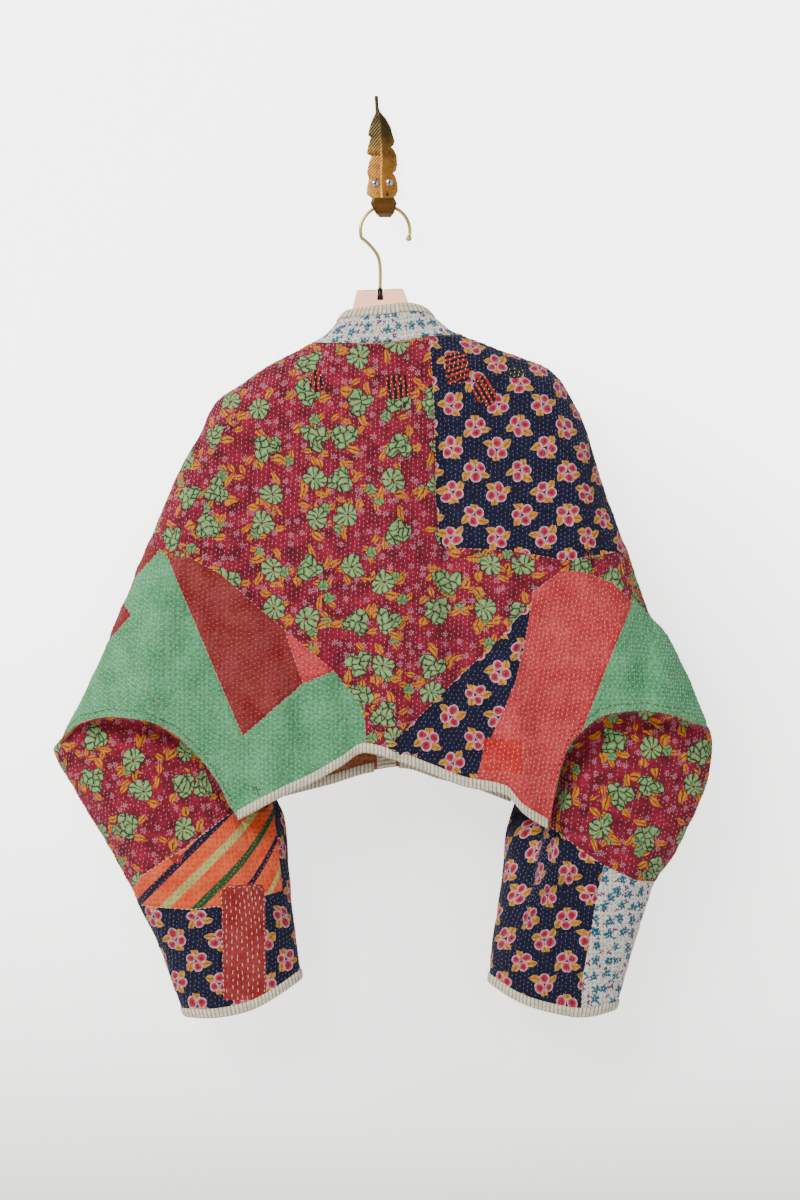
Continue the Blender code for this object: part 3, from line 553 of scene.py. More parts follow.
def cloth_piece(name, grid, cloth, patches, seams, base, lining, materials, still_rows=(0, 0), far=None):
    """A closed cloth shell from a grid: patches cut to their edges, puckered outer skin, plain lining.

    Gives the piece and its skin: the outer points, their normals and their cloth coordinates.
    """
    columns, rows = grid.shape[:2]
    shape = bmesh.new()
    u_layer = shape.verts.layers.float.new("u")
    v_layer = shape.verts.layers.float.new("v")
    still_layer = shape.verts.layers.float.new("still")
    verts = []
    for i in range(columns):
        for j in range(rows):
            vert = shape.verts.new(grid[i, j])
            vert[u_layer], vert[v_layer] = cloth[i, j]
            vert[still_layer] = min(1.0, ramp(j, still_rows[0]), ramp(rows - 1 - j, still_rows[1]))
            verts.append(vert)
    for i in range(columns - 1):
        for j in range(rows - 1):
            a = i * rows + j
            shape.faces.new((verts[a], verts[a + rows], verts[a + rows + 1], verts[a + 1]))
    for _, _, corners in patches:
        cut_along(shape, corners)
    shape.normal_update()
    shape.verts.ensure_lookup_table()
    shape.verts.index_update()
    points = np.array([v.co for v in shape.verts])
    normals = np.array([v.normal for v in shape.verts])
    uv = np.array([(v[u_layer], v[v_layer]) for v in shape.verts])
    still = np.array([v[still_layer] for v in shape.verts])
    faces = [[v.index for v in f.verts] for f in shape.faces]
    open_edges = [(e.verts[0].index, e.verts[1].index) for e in shape.edges if e.is_boundary]
    shape.free()
    lift = puckers(uv[:, 0], uv[:, 1]) + 0.3
    if seams:
        away = line_distance(points[:, [0, 2]], seams)
        lift = lift - 0.9 * np.exp(-(away / 1.8) ** 2) + 0.7 * np.exp(-((away - 4.5) / 2.6) ** 2)
    outer = points + normals * (lift * np.clip(still, 0, 1))[:, None]
    inner = points - normals * CLOTH
    count = len(points)
    centres = np.array([points[face].mean(axis=0) for face in faces])[:, [0, 2]]
    number = patch_at(centres, patches)
    slots = [base] + [patch[0] for patch in patches]
    if far:
        turned = np.array([normals[face].mean(axis=0)[1] for face in faces]) > 0.15
        number[turned] = len(slots)
        slots.append(far)
    used = sorted(set(slots[k] for k in np.unique(number)))
    face_slots = [used.index(slots[k]) for k in number]
    directed = {pair for face in faces for pair in zip(face, face[1:] + face[:1])}
    rims = []
    for a, b in open_edges:
        if (a, b) in directed:
            a, b = b, a
        rims.append([a, b, b + count, a + count])
    all_faces = faces + [[v + count for v in face[::-1]] for face in faces] + rims
    mesh = bpy.data.meshes.new(name)
    mesh.from_pydata([tuple(p) for p in np.vstack([outer, inner]) * MM], [], all_faces)
    for material in used + [lining]:
        mesh.materials.append(materials[material])
    mesh.polygons.foreach_set("material_index", face_slots + [len(used)] * (len(faces) + len(rims)))
    mesh.polygons.foreach_set("use_smooth", [True] * len(all_faces))
    loops = np.zeros(len(mesh.loops), int)
    mesh.loops.foreach_get("vertex_index", loops)
    layer = mesh.uv_layers.new(name="cloth")
    layer.data.foreach_set("uv", (np.vstack([uv, uv])[loops] * MM).ravel())
    return add_object(name, mesh), (outer, normals, uv)


def add_object(name, mesh):
    piece = bpy.data.objects.new(name, mesh)
    bpy.context.scene.collection.objects.link(piece)
    return piece


def sleeve_top(sign, grid, corner, under):
    """The sleeve's upper edge from a panel's lower row, ending under the arm, with shares of its length."""
    edge = [grid[i, -1] for i in range(grid.shape[0]) if sign * grid[i, 0, 0] <= sign * corner + 0.01]
    edge.sort(key=lambda point: sign * point[0])
    path = []
    for i, point in enumerate(edge):
        along = edge[min(i + 1, len(edge) - 1)] - edge[max(i - 1, 0)]
        away = np.array([along[2], 0.0, -along[0]]) * sign
        path.append(point + away / np.linalg.norm(away) * SEAM)
    start = path[-1]
    for turn in np.linspace(0, math.pi / 2, 13)[1:]:
        slow, fast = 1 - math.cos(turn), math.sin(turn)
        path.append(start + (under - start) * np.array([slow, fast, slow]))
    run = run_along(path)
    return np.array(path), run / run[-1]


def across(share):
    return np.maximum(0.0, 1 - np.abs(2 * share - 1) ** 2.6) ** (1 / 2.2)


def sleeve_grid(side_name, back, front, corners):
    """A sleeve's skin and cloth coordinates. Its columns run round it, from the middle of its front."""
    shape = SLEEVES[side_name]
    sign = shape["sign"]
    outer, inner, cuff = (traced(shape[key]) for key in ("outer", "inner", "cuff"))
    under = np.array([shape["inner"][0][0], SLEEVE_DEPTH[0][1], shape["inner"][0][1]], float)
    tops = {-1: sleeve_top(sign, back, corners[0], under), 1: sleeve_top(sign, front, corners[1], under)}
    start = np.array([shape["outer"][0][0], FOLD_Y, shape["outer"][0][1]], float)
    middle, back_reach, front_reach = (eased(SLEEVE_DEPTH, k) for k in (1, 2, 3))
    half = SLEEVE_COLUMNS // 2
    even = np.linspace(0, 1, half)
    shares = 0.5 * even + 0.25 * (1 - np.cos(np.pi * even))
    ring = [(q, 1) for q in shares[half // 2::-1]] + [(q, -1) for q in shares[1:]]
    ring += [(q, 1) for q in shares[-2:half // 2 - 1:-1]]
    downs = np.concatenate([SLEEVE_HEAD_ROWS, np.linspace(0.058, 1, SLEEVE_ROWS - len(SLEEVE_HEAD_ROWS))])
    grid = np.zeros((len(ring), len(downs), 3))
    for i, (q, side) in enumerate(ring):
        path, run = tops[side]
        head = np.array([np.interp(q, run, path[:, k]) for k in range(3)])
        tip = max(0.0, 1 - q / 0.02)
        head = head * (1 - tip) + start * tip
        foot = cuff(q)
        for j, v in enumerate(downs):
            first, last = outer(v), inner(v)
            corner = (1 - q) * ((1 - v) * outer(0) + v * outer(1)) + q * ((1 - v) * inner(0) + v * inner(1))
            x, z = (1 - v) * head[[0, 2]] + v * foot + (1 - q) * first + q * last - corner
            folds = 0.0
            if side < 0:
                for q_at, v_at, q_half, v_half, out in SLEEVE_FOLDS[side_name]:
                    folds += out * float(bump((q - q_at) / q_half)) * float(bump((v - v_at) / v_half))
            reach = -float(back_reach(v)) if side < 0 else float(front_reach(v))
            kept = math.exp(-(v / 0.011) ** 1.3)
            y = float(middle(v)) + (reach - folds) * float(across(q))
            grid[i, j] = (x, kept * head[1] + (1 - kept) * y, z)
    if sign > 0:
        grid = grid[::-1]
    steps = np.linalg.norm(np.diff(grid, axis=0), axis=2)
    round_run = np.concatenate([np.zeros((1, grid.shape[1])), np.cumsum(steps, axis=0)])
    middle_column = len(ring) // 2
    round_run -= round_run[middle_column]
    rightward = np.sign(grid[middle_column + 1, -1, 0] - grid[middle_column - 1, -1, 0])
    return grid, np.stack([grid[middle_column, :, 0] + rightward * round_run, grid[..., 2]], axis=2)


class Value:
    """A node socket, or a plain number, that can be written in sums."""

    def __init__(self, nodes, socket):
        self.nodes, self.socket = nodes, socket

    def math(self, operation, *others, clamp=False):
        node = self.nodes.tree.nodes.new("ShaderNodeMath")
        node.operation = operation
        node.use_clamp = clamp
        for slot, value in zip(node.inputs, (self, *others)):
            self.nodes.put(value, slot)
        return Value(self.nodes, node.outputs[0])

    def __add__(self, other):
        return self.math("ADD", other)

    def __sub__(self, other):
        return self.math("SUBTRACT", other)

    def __mul__(self, other):
        return self.math("MULTIPLY", other)

    def __truediv__(self, other):
        return self.math("DIVIDE", other)

    def __lt__(self, other):
        return self.math("LESS_THAN", other)

    def __gt__(self, other):
        return self.math("GREATER_THAN", other)

    def absolute(self):
        return self.math("ABSOLUTE")

    def fraction(self):
        return self.math("FRACT")

    def floor(self):
        return self.math("FLOOR")

    def cos(self):
        return self.math("COSINE")

    def sin(self):
        return self.math("SINE")


class Nodes:
    """Short words for building a node tree."""

    def __init__(self, tree):
        self.tree = tree

    def put(self, value, slot):
        if isinstance(value, Value):
            self.tree.links.new(value.socket, slot)
        elif isinstance(value, bpy.types.NodeSocket):
            self.tree.links.new(value, slot)
        else:
            slot.default_value = value

    def new(self, kind, inputs=(), **settings):
        node = self.tree.nodes.new(kind)
        for key, value in settings.items():
            setattr(node, key, value)
        for key, value in dict(inputs).items():
            self.put(value, node.inputs[key])
        return node

    def split(self, vector):
        node = self.new("ShaderNodeSeparateXYZ", {0: vector})
        return Value(self, node.outputs[0]), Value(self, node.outputs[1])

    def join(self, x, y):
        return Value(self, self.new("ShaderNodeCombineXYZ", {0: x, 1: y}).outputs[0])

    def vector(self, operation, *values):
        node = self.new("ShaderNodeVectorMath", operation=operation)
        for slot, value in zip(node.inputs, values):
            self.put(value, slot)
        return Value(self, node.outputs["Vector"])

    def scaled(self, vector, factor):
        node = self.new("ShaderNodeVectorMath", operation="SCALE")
        self.put(vector, node.inputs[0])
        self.put(factor, node.inputs["Scale"])
        return Value(self, node.outputs["Vector"])

    def mixed(self, factor, under, over):
        """The colour under, with the colour over laid on it where factor is 1."""
        node = self.new("ShaderNodeMix", data_type="RGBA")
        self.put(factor, node.inputs[0])
        self.put(under, node.inputs[6])
        self.put(over, node.inputs[7])
        return Value(self, node.outputs[2])

    def noise(self, vector, scale, detail=2.0):
        node = self.new("ShaderNodeTexNoise", {"Vector": vector, "Scale": scale, "Detail": detail})
        return Value(self, node.outputs["Fac"])

    def cells(self, vector, pitch, randomness):
        """The offset from the nearest of scattered centres, and three random numbers of that centre."""
        inputs = {"Vector": vector, "Scale": 1 / pitch, "Randomness": randomness}
        node = self.new("ShaderNodeTexVoronoi", inputs, voronoi_dimensions="2D")
        offset = self.vector("SUBTRACT", vector, node.outputs["Position"])
        chance = self.new("ShaderNodeSeparateColor", {0: node.outputs["Color"]})
        return offset, [Value(self, chance.outputs[k]) for k in range(3)]

    def polar(self, offset):
        x, y = self.split(offset)
        return (x * x + y * y).math("SQRT"), y.math("ARCTAN2", x)


def linear(red, green, blue):
    """A colour given in the usual 0 to 255 as Blender wants it."""
    def one(value):
        value /= 255
        return value / 12.92 if value <= 0.04045 else ((value + 0.055) / 1.055) ** 2.4
    return (one(red), one(green), one(blue), 1.0)


# Distances between the prints' motifs, in millimetres
SPRAY_PITCH = 12.5
BUD_PITCH = 27.0
FLOWER_PITCH = 50.0
PETAL_PITCH = 8.2
BLOSSOM_COLUMN = 53.0
BLOSSOM_ROW = 25.5
DARN_PITCH = 6.4
DIMPLE_PITCH = 5.6

PALE_GREEN = linear(150, 194, 120)
MID_GREEN = linear(74, 134, 76)
DARK_GREEN = linear(40, 46, 34)
BROWN = linear(110, 40, 40)
YELLOW = linear(222, 142, 18)
ORANGE = linear(196, 78, 22)
OLIVE = linear(104, 52, 14)
BLOSSOM = linear(220, 150, 170)


def group(name, *more, places=("Place",), output=("Color", "Color")):
    """A new node group: its nodes, its inputs and its output.

    Places are in millimetres, and each further input or the output is given by its name and kind.
    """
    tree = bpy.data.node_groups.new(name, "ShaderNodeTree")
    inputs = [(label, "Vector") for label in places] + list(more)
    for label, kind in inputs:
        tree.interface.new_socket(label, in_out="INPUT", socket_type="NodeSocket" + kind)
    tree.interface.new_socket(output[0], in_out="OUTPUT", socket_type="NodeSocket" + output[1])
    nodes = Nodes(tree)
    given = tree.nodes.new("NodeGroupInput").outputs
    out = tree.nodes.new("NodeGroupOutput").inputs[0]
    return nodes, *[Value(nodes, given[k]) for k in range(len(inputs))], out


def leaf_ring(radius, angle, count, at, half_length, half_width, tilt, chance, share):
    """How far inside a leaf each place is, for leaves set round a centre, and how near the leaf's rib."""
    step = 2 * math.pi / count
    turn = angle / step
    sector = turn.floor()
    local = (turn.fraction() - 0.5) * step
    along = radius * local.cos() - at
    aside = radius * local.sin()
    down = along * math.cos(tilt) + aside * math.sin(tilt)
    over = aside * math.cos(tilt) - along * math.sin(tilt)
    reach = down / half_length
    depth = (reach * reach * -1.0 + 1.0) * half_width - over.absolute()
    luck = ((sector * 0.377 + chance * 7.3).fraction() < share)
    return depth * luck + (luck - 1.0) * 9.0, over.absolute()


def warped(nodes, place, scale, reach):
    """Places drawn a little out of true, so that repeats look printed by hand."""
    node = nodes.new("ShaderNodeTexNoise", {"Vector": place, "Scale": scale, "Detail": 1.0})
    drift = nodes.vector("SUBTRACT", node.outputs["Color"], (0.5, 0.5, 0.5))
    return nodes.vector("ADD", place, nodes.scaled(drift, reach))


def mottle(nodes, place, scale):
    """Worn, uneven dye: noise with more contrast than it comes with. On the magenta ground it is partly
    painted shade of the puckers.
    """
    return (nodes.noise(place, scale, 4.0) - 0.5).math("MULTIPLY_ADD", 2.4, 0.5, clamp=True)


def magenta_print():
    """Scattered green blossoms of two kinds, with buds, leaves and pale sprays, on a mottled magenta."""
    nodes, place, out = group("Magenta flower print")
    # the ground's mottle from dark to bright magenta is partly uneven dye and partly painted shade of the
    # cloth's puckers
    color = nodes.mixed(mottle(nodes, place, 0.055), linear(84, 8, 24), linear(174, 29, 62))
    offset, chance = nodes.cells(place, SPRAY_PITCH, 0.9)
    radius, angle = nodes.polar(offset)
    spray = (angle * 3.0 + chance[0] * 6.0).cos().absolute() * 3.6 + 0.2
    thin = (radius < spray) * (chance[1] > 0.42) * (radius > 0.8)
    color = nodes.mixed(thin * 0.6, color, BLOSSOM)
    offset, chance = nodes.cells(nodes.vector("ADD", place, (311.0, 97.0, 0.0)), BUD_PITCH, 0.85)
    radius, angle = nodes.polar(offset)
    spun = angle + chance[0] * 6.28
    depth, rib = leaf_ring(radius, spun, 3, 7.6, 7.2, 3.3, 0.5, chance[1], 0.7)
    has_leaf = (chance[2] > 0.45)
    color = nodes.mixed((depth > 0.0) * has_leaf, color, ORANGE)
    color = nodes.mixed((depth > 0.6) * has_leaf, color, YELLOW)
    color = nodes.mixed((depth > 0.6) * (rib < 0.55) * has_leaf, color, OLIVE)
    bud = (spun * 1.5).cos().absolute() * 2.2 + 5.2
    has_bud = (chance[2] > 0.62)
    color = nodes.mixed((radius < bud) * has_bud, color, DARK_GREEN)
    within = (radius < bud - 0.9) * has_bud
    crease = ((spun * 1.5).sin().absolute() < 0.16)
    color = nodes.mixed(within, color, nodes.mixed(radius / 8.0, MID_GREEN, PALE_GREEN))
    color = nodes.mixed(within * crease, color, DARK_GREEN)
    drawn = warped(nodes, place, 0.06, 13.0)
    offset, chance = nodes.cells(drawn, FLOWER_PITCH, 0.55)
    radius, angle = nodes.polar(offset)
    spun = angle + chance[0] * 6.28
    depth, rib = leaf_ring(radius, spun, 5, 20.0, 8.8, 4.2, 0.6, chance[1], 0.6)
    color = nodes.mixed(depth > 0.0, color, ORANGE)
    color = nodes.mixed(depth > 0.6, color, YELLOW)
    color = nodes.mixed((depth > 0.6) * (rib < 0.55), color, OLIVE)
    petal = (spun * 4.5).cos().absolute()
    daisy = petal.math("POWER", 0.5) * 2.6 + 11.0
    lobe = (spun * 1.5 + 0.4).cos().absolute()
    rose = lobe.math("POWER", 0.6) * 8.0 + 8.6
    is_daisy = (chance[2] > 0.5)
    is_rose = is_daisy * -1.0 + 1.0
    edge = daisy * is_daisy + rose * is_rose
    green = nodes.mixed((radius / 15.0).math("POWER", 1.5), MID_GREEN, PALE_GREEN)
    color = nodes.mixed(radius < edge, color, DARK_GREEN)
    within = (radius < edge - 1.1)
    color = nodes.mixed(within, color, green)
    rays = (petal * 1.5 - 0.35).math("MULTIPLY", 1.2, clamp=True)
    color = nodes.mixed(within * is_daisy, color, nodes.mixed(rays, linear(50, 72, 44), PALE_GREEN))
    inputs = {"Vector": drawn, "Scale": 1 / PETAL_PITCH}
    cell = nodes.new("ShaderNodeTexVoronoi", inputs, voronoi_dimensions="2D", feature="DISTANCE_TO_EDGE")
    from_edge = Value(nodes, cell.outputs["Distance"])
    shaded = nodes.mixed((from_edge * 3.4).math("MINIMUM", 1.0), MID_GREEN, PALE_GREEN)
    color = nodes.mixed(within * is_rose, color, shaded)
    color = nodes.mixed(within * is_rose * (from_edge < 0.075), color, DARK_GREEN)
    color = nodes.mixed((radius < 1.9) * is_daisy, color, BROWN)
    nodes.put(color, out)
    return nodes.tree


def navy_print():
    """Half-drop rows of three-part pink blossoms with yellow leaves on navy."""
    nodes, place, out = group("Navy blossom print")
    x, y = nodes.split(warped(nodes, place, 0.04, 9.0))
    row = (y / BLOSSOM_ROW).floor()
    column = x / BLOSSOM_COLUMN + row * 0.5
    parity = ((row * 0.5).fraction() > 0.25)
    across_cell = (column.fraction() - 0.5) * BLOSSOM_COLUMN
    up_cell = ((y / BLOSSOM_ROW).fraction() - 0.5) * BLOSSOM_ROW
    shift = (row * 0.731 + column.floor() * 0.417).fraction()
    offset = nodes.join(across_cell + shift * 3.0 - 1.5, up_cell)
    radius, angle = nodes.polar(offset)
    radius = radius / 1.1
    spun = angle + parity * 3.14 + shift * 0.9
    color = nodes.mixed(mottle(nodes, place, 0.08), linear(7, 8, 32), linear(15, 16, 58))
    depth, rib = leaf_ring(radius, spun, 3, 9.6, 7.0, 3.9, 0.45, shift * 0.0, 1.0)
    color = nodes.mixed(depth > 0.0, color, linear(228, 186, 130))
    color = nodes.mixed(depth > 0.4, color, linear(228, 154, 34))
    color = nodes.mixed((depth > 0.8) * (rib < 0.5), color, linear(166, 82, 24))
    step = 2 * math.pi / 3
    local = ((spun + step / 2) / step).fraction() * step - step / 2
    along, aside = radius * local.cos() - 6.6, radius * local.sin()
    disc = (along * along + aside * aside).math("SQRT")
    color = nodes.mixed(disc < 5.4, color, linear(236, 196, 198))
    color = nodes.mixed(disc < 4.5, color, linear(222, 104, 124))
    color = nodes.mixed(disc < 3.2, color, linear(196, 26, 58))
    color = nodes.mixed(disc < 1.2, color, linear(154, 16, 44))
    nodes.put(color, out)
    return nodes.tree


def white_print():
    """Blue blossoms and plum sprigs scattered over small dots on a warm white."""
    nodes, place, out = group("White sprig print")
    color = nodes.mixed(mottle(nodes, place, 0.06), linear(250, 240, 226), linear(255, 252, 242))
    offset, chance = nodes.cells(nodes.vector("ADD", place, (11.0, 7.0, 0.0)), 4.4, 0.4)
    radius, angle = nodes.polar(offset)
    color = nodes.mixed((radius < 0.72) * 0.85, color, linear(70, 48, 56))
    place = warped(nodes, place, 0.12, 7.0)
    offset, chance = nodes.cells(place, 8.5, 0.9)
    radius, angle = nodes.polar(offset)
    sprig = (angle * 1.5 + chance[0] * 6.0).cos().absolute() * 2.9 + 0.3
    color = nodes.mixed((radius < sprig) * (chance[1] > 0.45), color, linear(112, 60, 116))
    offset, chance = nodes.cells(nodes.vector("ADD", place, (57.0, 21.0, 0.0)), 15.5, 0.6)
    radius, angle = nodes.polar(offset)
    petal = ((angle + chance[0] * 6.28) * 2.5).cos().absolute() * 3.2 + 2.6
    color = nodes.mixed((radius < petal) * (chance[1] > 0.2), color, linear(58, 142, 164))
    color = nodes.mixed((radius < petal - 2.2) * (chance[1] > 0.2), color, linear(20, 84, 128))
    color = nodes.mixed(radius < 0.9, color, linear(190, 160, 80))
    nodes.put(color, out)
    return nodes.tree


def plain_cloth_group():
    """A plain dyed cotton, a little uneven and faded, from one colour."""
    nodes, place, dye, out = group("Faded cotton", ("Dye", "Color"))
    dark = nodes.mixed(0.3, dye, (0.01, 0.01, 0.01, 1))
    pale = nodes.mixed(0.07, dye, (0.8, 0.76, 0.7, 1))
    nodes.put(nodes.mixed(mottle(nodes, place, 0.032), dark, pale), out)
    return nodes.tree


def pucker_group():
    """The fine height of hand-quilted cloth: a dimple at each stitch over a weave."""
    nodes, place, out = group("Stitch dimples", output=("Height", "Float"))
    inputs = {"Vector": place, "Scale": 1 / DIMPLE_PITCH, "Randomness": 0.55}
    cell = nodes.new("ShaderNodeTexVoronoi", inputs, voronoi_dimensions="2D")
    dimple = Value(nodes, cell.outputs["Distance"]).math("MINIMUM", 0.6)
    nodes.put(dimple * 0.9 + nodes.noise(place, 1.1, 2.0) * 0.35, out)
    return nodes.tree


def dimple_shade_group():
    """A dye made darker where the quilting sinks, as painted shade in the dimples, from a colour and the
    quilting's height.
    """
    nodes, dye, height, out = group("Dye with painted dimple shade", ("Dye", "Color"), ("Height", "Float"), places=())
    # painted shade: in the dimples the dye is darkened a third of the way towards black
    low = nodes.mixed(0.34, dye, (0.004, 0.004, 0.004, 1))
    risen = (height - 0.2).math("MULTIPLY", 2.6, clamp=True)
    nodes.put(nodes.mixed(risen, low, dye), out)
    return nodes.tree


def stripe_group():
    """Orange cotton with woven stripes that run up to the right, from a place in the garment's own plane."""
    nodes, place, out = group("Slanting stripes")
    x, z = nodes.split(place)
    past = (x - STRIPE_TURN_X).math("MAXIMUM", 0.0)
    distance = (x + past * past * past * STRIPE_TURN - z) * math.sqrt(0.5)
    color = nodes.mixed(mottle(nodes, place, 0.06), linear(248, 70, 30), linear(255, 118, 64))
    dyes = {
        "navy_thread": linear(22, 22, 58), "pale_green": linear(200, 200, 116), "green": linear(28, 92, 44),
    }
    for middle, half, dye in STRIPES:
        color = nodes.mixed((distance - middle).absolute() < half, color, dyes[dye])
    nodes.put(color, out)
    return nodes.tree


def darn_group():
    """A small patch of close stripes, from two colours."""
    dyes = (("Ground", "Color"), ("Stripe", "Color"), ("Turn", "Float"))
    nodes, place, ground, stripe, turn, out = group("Striped patch", *dyes)
    wander = nodes.noise(place, 0.15) * 3.0
    x, y = nodes.split(place)
    band = ((x * turn.cos() + y * turn.sin() + wander) / DARN_PITCH).fraction() < 0.55
    nodes.put(nodes.mixed(band, stripe, ground), out)
    return nodes.tree


def tape_group():
    """Cream cotton tape with khaki stripes across it, from a place along its length."""
    nodes, place, out = group("Cross-striped tape")
    x, y = nodes.split(place)
    line = ((x + nodes.noise(place, 0.2) * 0.8) / TAPE_PITCH).fraction() < 0.32
    cream = nodes.mixed(mottle(nodes, place, 0.04), linear(240, 230, 200), linear(255, 249, 228))
    nodes.put(nodes.mixed(line * 0.8, cream, linear(156, 138, 96)), out)
    return nodes.tree


def surface(name, roughness, metallic=0.0, color=(0.5, 0.5, 0.5, 1.0), **others):
    """A material with plain values on its shader. Other sockets are named with _ for spaces."""
    material = bpy.data.materials.new(name)
    material.use_nodes = True
    shader = material.node_tree.nodes["Principled BSDF"]
    shader.inputs["Base Color"].default_value = color
    shader.inputs["Roughness"].default_value = roughness
    shader.inputs["Metallic"].default_value = metallic
    for key, value in others.items():
        shader.inputs[key.replace("_", " ")].default_value = value
    return material, Nodes(material.node_tree), shader


def cloth_material(name, colors, dimples, dimple_shade, inputs=(), garment_plane=False, relief=2.4):
    """A matt cotton whose colour comes from a group, dimpled by its quilting, with painted shade darkening
    the dye in the dimples.
    """
    material, nodes, shader = surface(name, 0.92, Sheen_Weight=0.1, Sheen_Roughness=0.6)
    shader.inputs["Specular IOR Level"].default_value = 0.25
    place = nodes.scaled(nodes.new("ShaderNodeUVMap", uv_map="cloth").outputs[0], 1 / MM)
    color_place = place
    if garment_plane:
        here = nodes.new("ShaderNodeSeparateXYZ", {0: nodes.new("ShaderNodeTexCoord").outputs["Object"]})
        color_place = nodes.scaled(nodes.join(here.outputs[0], here.outputs[2]), 1 / MM)
    dyed = nodes.new("ShaderNodeGroup", {"Place": color_place, **dict(inputs)}, node_tree=colors)
    fine = nodes.new("ShaderNodeGroup", {"Place": place}, node_tree=dimples)
    given = {"Dye": dyed.outputs["Color"], "Height": fine.outputs["Height"]}
    # painted shade: the dye is darkened where the quilting's dimples sink
    worn_and_shaded = nodes.new("ShaderNodeGroup", given, node_tree=dimple_shade)
    nodes.put(worn_and_shaded.outputs["Color"], shader.inputs["Base Color"])
    given = {"Height": fine.outputs["Height"], "Distance": relief * MM, "Strength": 1.0}
    nodes.put(nodes.new("ShaderNodeBump", given).outputs[0], shader.inputs["Normal"])
    return material


def cloth_materials():
    dimples, dimple_shade = pucker_group(), dimple_shade_group()
    faded = plain_cloth_group()
    darned = darn_group()
    dyes = {
        "coral": linear(228, 52, 62), "bright_red": linear(232, 2, 6), "mint": linear(92, 184, 122),
        "dark_red": linear(154, 14, 20), "red": linear(178, 18, 22), "lining": linear(196, 108, 66),
    }
    materials = {name: cloth_material(name, faded, dimples, dimple_shade, {"Dye": dye}) for name, dye in dyes.items()}
    prints = {"magenta": magenta_print(), "navy": navy_print(), "white": white_print()}
    for name, tree in prints.items():
        materials[name] = cloth_material(name, tree, dimples, dimple_shade)
    materials["stripe"] = cloth_material("stripe", stripe_group(), dimples, dimple_shade, garment_plane=True)
    black = linear(26, 20, 22)
    red, green = linear(184, 34, 34), linear(40, 62, 46)
    for name, stripe, turn in (
            ("darn", red, 0.1), ("darn_slant", red, 1.95), ("darn_steep", red, 0.5),
            ("darn_green", green, 0.9)):
        given = {"Ground": black, "Stripe": stripe, "Turn": turn}
        materials[name] = cloth_material(name, darned, dimples, dimple_shade, given)
    materials["tape"] = cloth_material("tape", tape_group(), dimples, dimple_shade, relief=0.3)
    return materials


def tape(name, edge, inward, normals, closed, material):
    """A strip folded over a cloth's edge: a rounded U along the edge's points, with its length as its first
    cloth coordinate."""
    sections = []
    for point, inner, normal in zip(edge, inward, normals):
        up = inner - point
        up = up - normal * np.dot(up, normal)
        up /= np.linalg.norm(up)
        sections.append([point + normal * out + up * rise for out, rise in TAPE_SECTION])
    points = np.array(sections)
    around = points.shape[1]
    if closed:
        points = np.concatenate([points, points[:1]])
    run = run_along(points[:, around // 3])
    across_run = run_along(TAPE_SECTION)
    count = len(points) - 1 if closed else len(points)
    faces, places = [], []
    for i in range(len(points) - 1):
        here, there = i * around, (i + 1) % count * around
        for j in range(around):
            k = (j + 1) % around
            faces.append((here + j, here + k, there + k, there + j))
            wide, wider = across_run[j], across_run[k] if k else across_run[j] + 1.0
            places += [(run[i], wide), (run[i], wider), (run[i + 1], wider), (run[i + 1], wide)]
    if not closed:
        faces.append(tuple(range(around))[::-1])
        faces.append(tuple((count - 1) * around + j for j in range(around)))
        places += [(0.0, 0.0)] * around + [(run[-1], 0.0)] * around
    mesh = bpy.data.meshes.new(name)
    mesh.from_pydata([tuple(p * MM) for p in points[:count].reshape(-1, 3)], [], faces)
    mesh.materials.append(material)
    layer = mesh.uv_layers.new(name="cloth")
    layer.data.foreach_set("uv", (np.array(places) * MM).ravel())
    face_out(mesh)
    mesh.polygons.foreach_set("use_smooth", [True] * len(mesh.polygons))
    return add_object(name, mesh)


def face_out(mesh):
    """Turns every face of a closed mesh outwards."""
    shape = bmesh.new()
    shape.from_mesh(mesh)
    bmesh.ops.recalc_face_normals(shape, faces=shape.faces)
    if shape.calc_volume(signed=True) < 0:
        bmesh.ops.reverse_faces(shape, faces=shape.faces)
    shape.to_mesh(mesh)
    shape.free()


def collar_grid(back, left, right):
    """The standing band's skin and cloth coordinates, from its front left edge round the back."""
    low, high = NECK_BACK[0][0], NECK_BACK[-1][0]

    def neck_points(grid, slack, leftward):
        chosen = [grid[i, 0] for i in range(grid.shape[0]) if low + slack < grid[i, 0, 0] < high - slack]
        return sorted(chosen, key=lambda point: -point[0] if leftward else point[0])

    line = neck_points(left, 1.0, True) + neck_points(back, -0.01, False) + neck_points(right, 1.0, True)
    line = np.array(line)
    run = run_along(line)
    shares = run / run[-1]
    lean, rise = eased(COLLAR_RISE, 1)(shares), eased(COLLAR_RISE, 2)(shares)
    rows = np.linspace(0, 1, COLLAR_ROWS)
    grid = np.zeros((len(line), COLLAR_ROWS, 3))
    for j, step in enumerate(rows):
        grid[:, j] = line + np.array([0, 0, NECK_SEAM])
        grid[:, j, 0] += (MIDDLE_X - line[:, 0]) * lean * step
        grid[:, j, 1] += (FOLD_Y - line[:, 1]) * lean * step
        grid[:, j, 2] += rise * step
        for _ in range(round(COLLAR_SOFTENING * step)):
            grid[1:-1, j] = (grid[:-2, j] + 2 * grid[1:-1, j] + grid[2:, j]) / 4
    cloth = np.zeros((*grid.shape[:2], 2))
    cloth[..., 0] = run[:, None]
    cloth[..., 1] = rise[:, None] * rows
    return grid, cloth


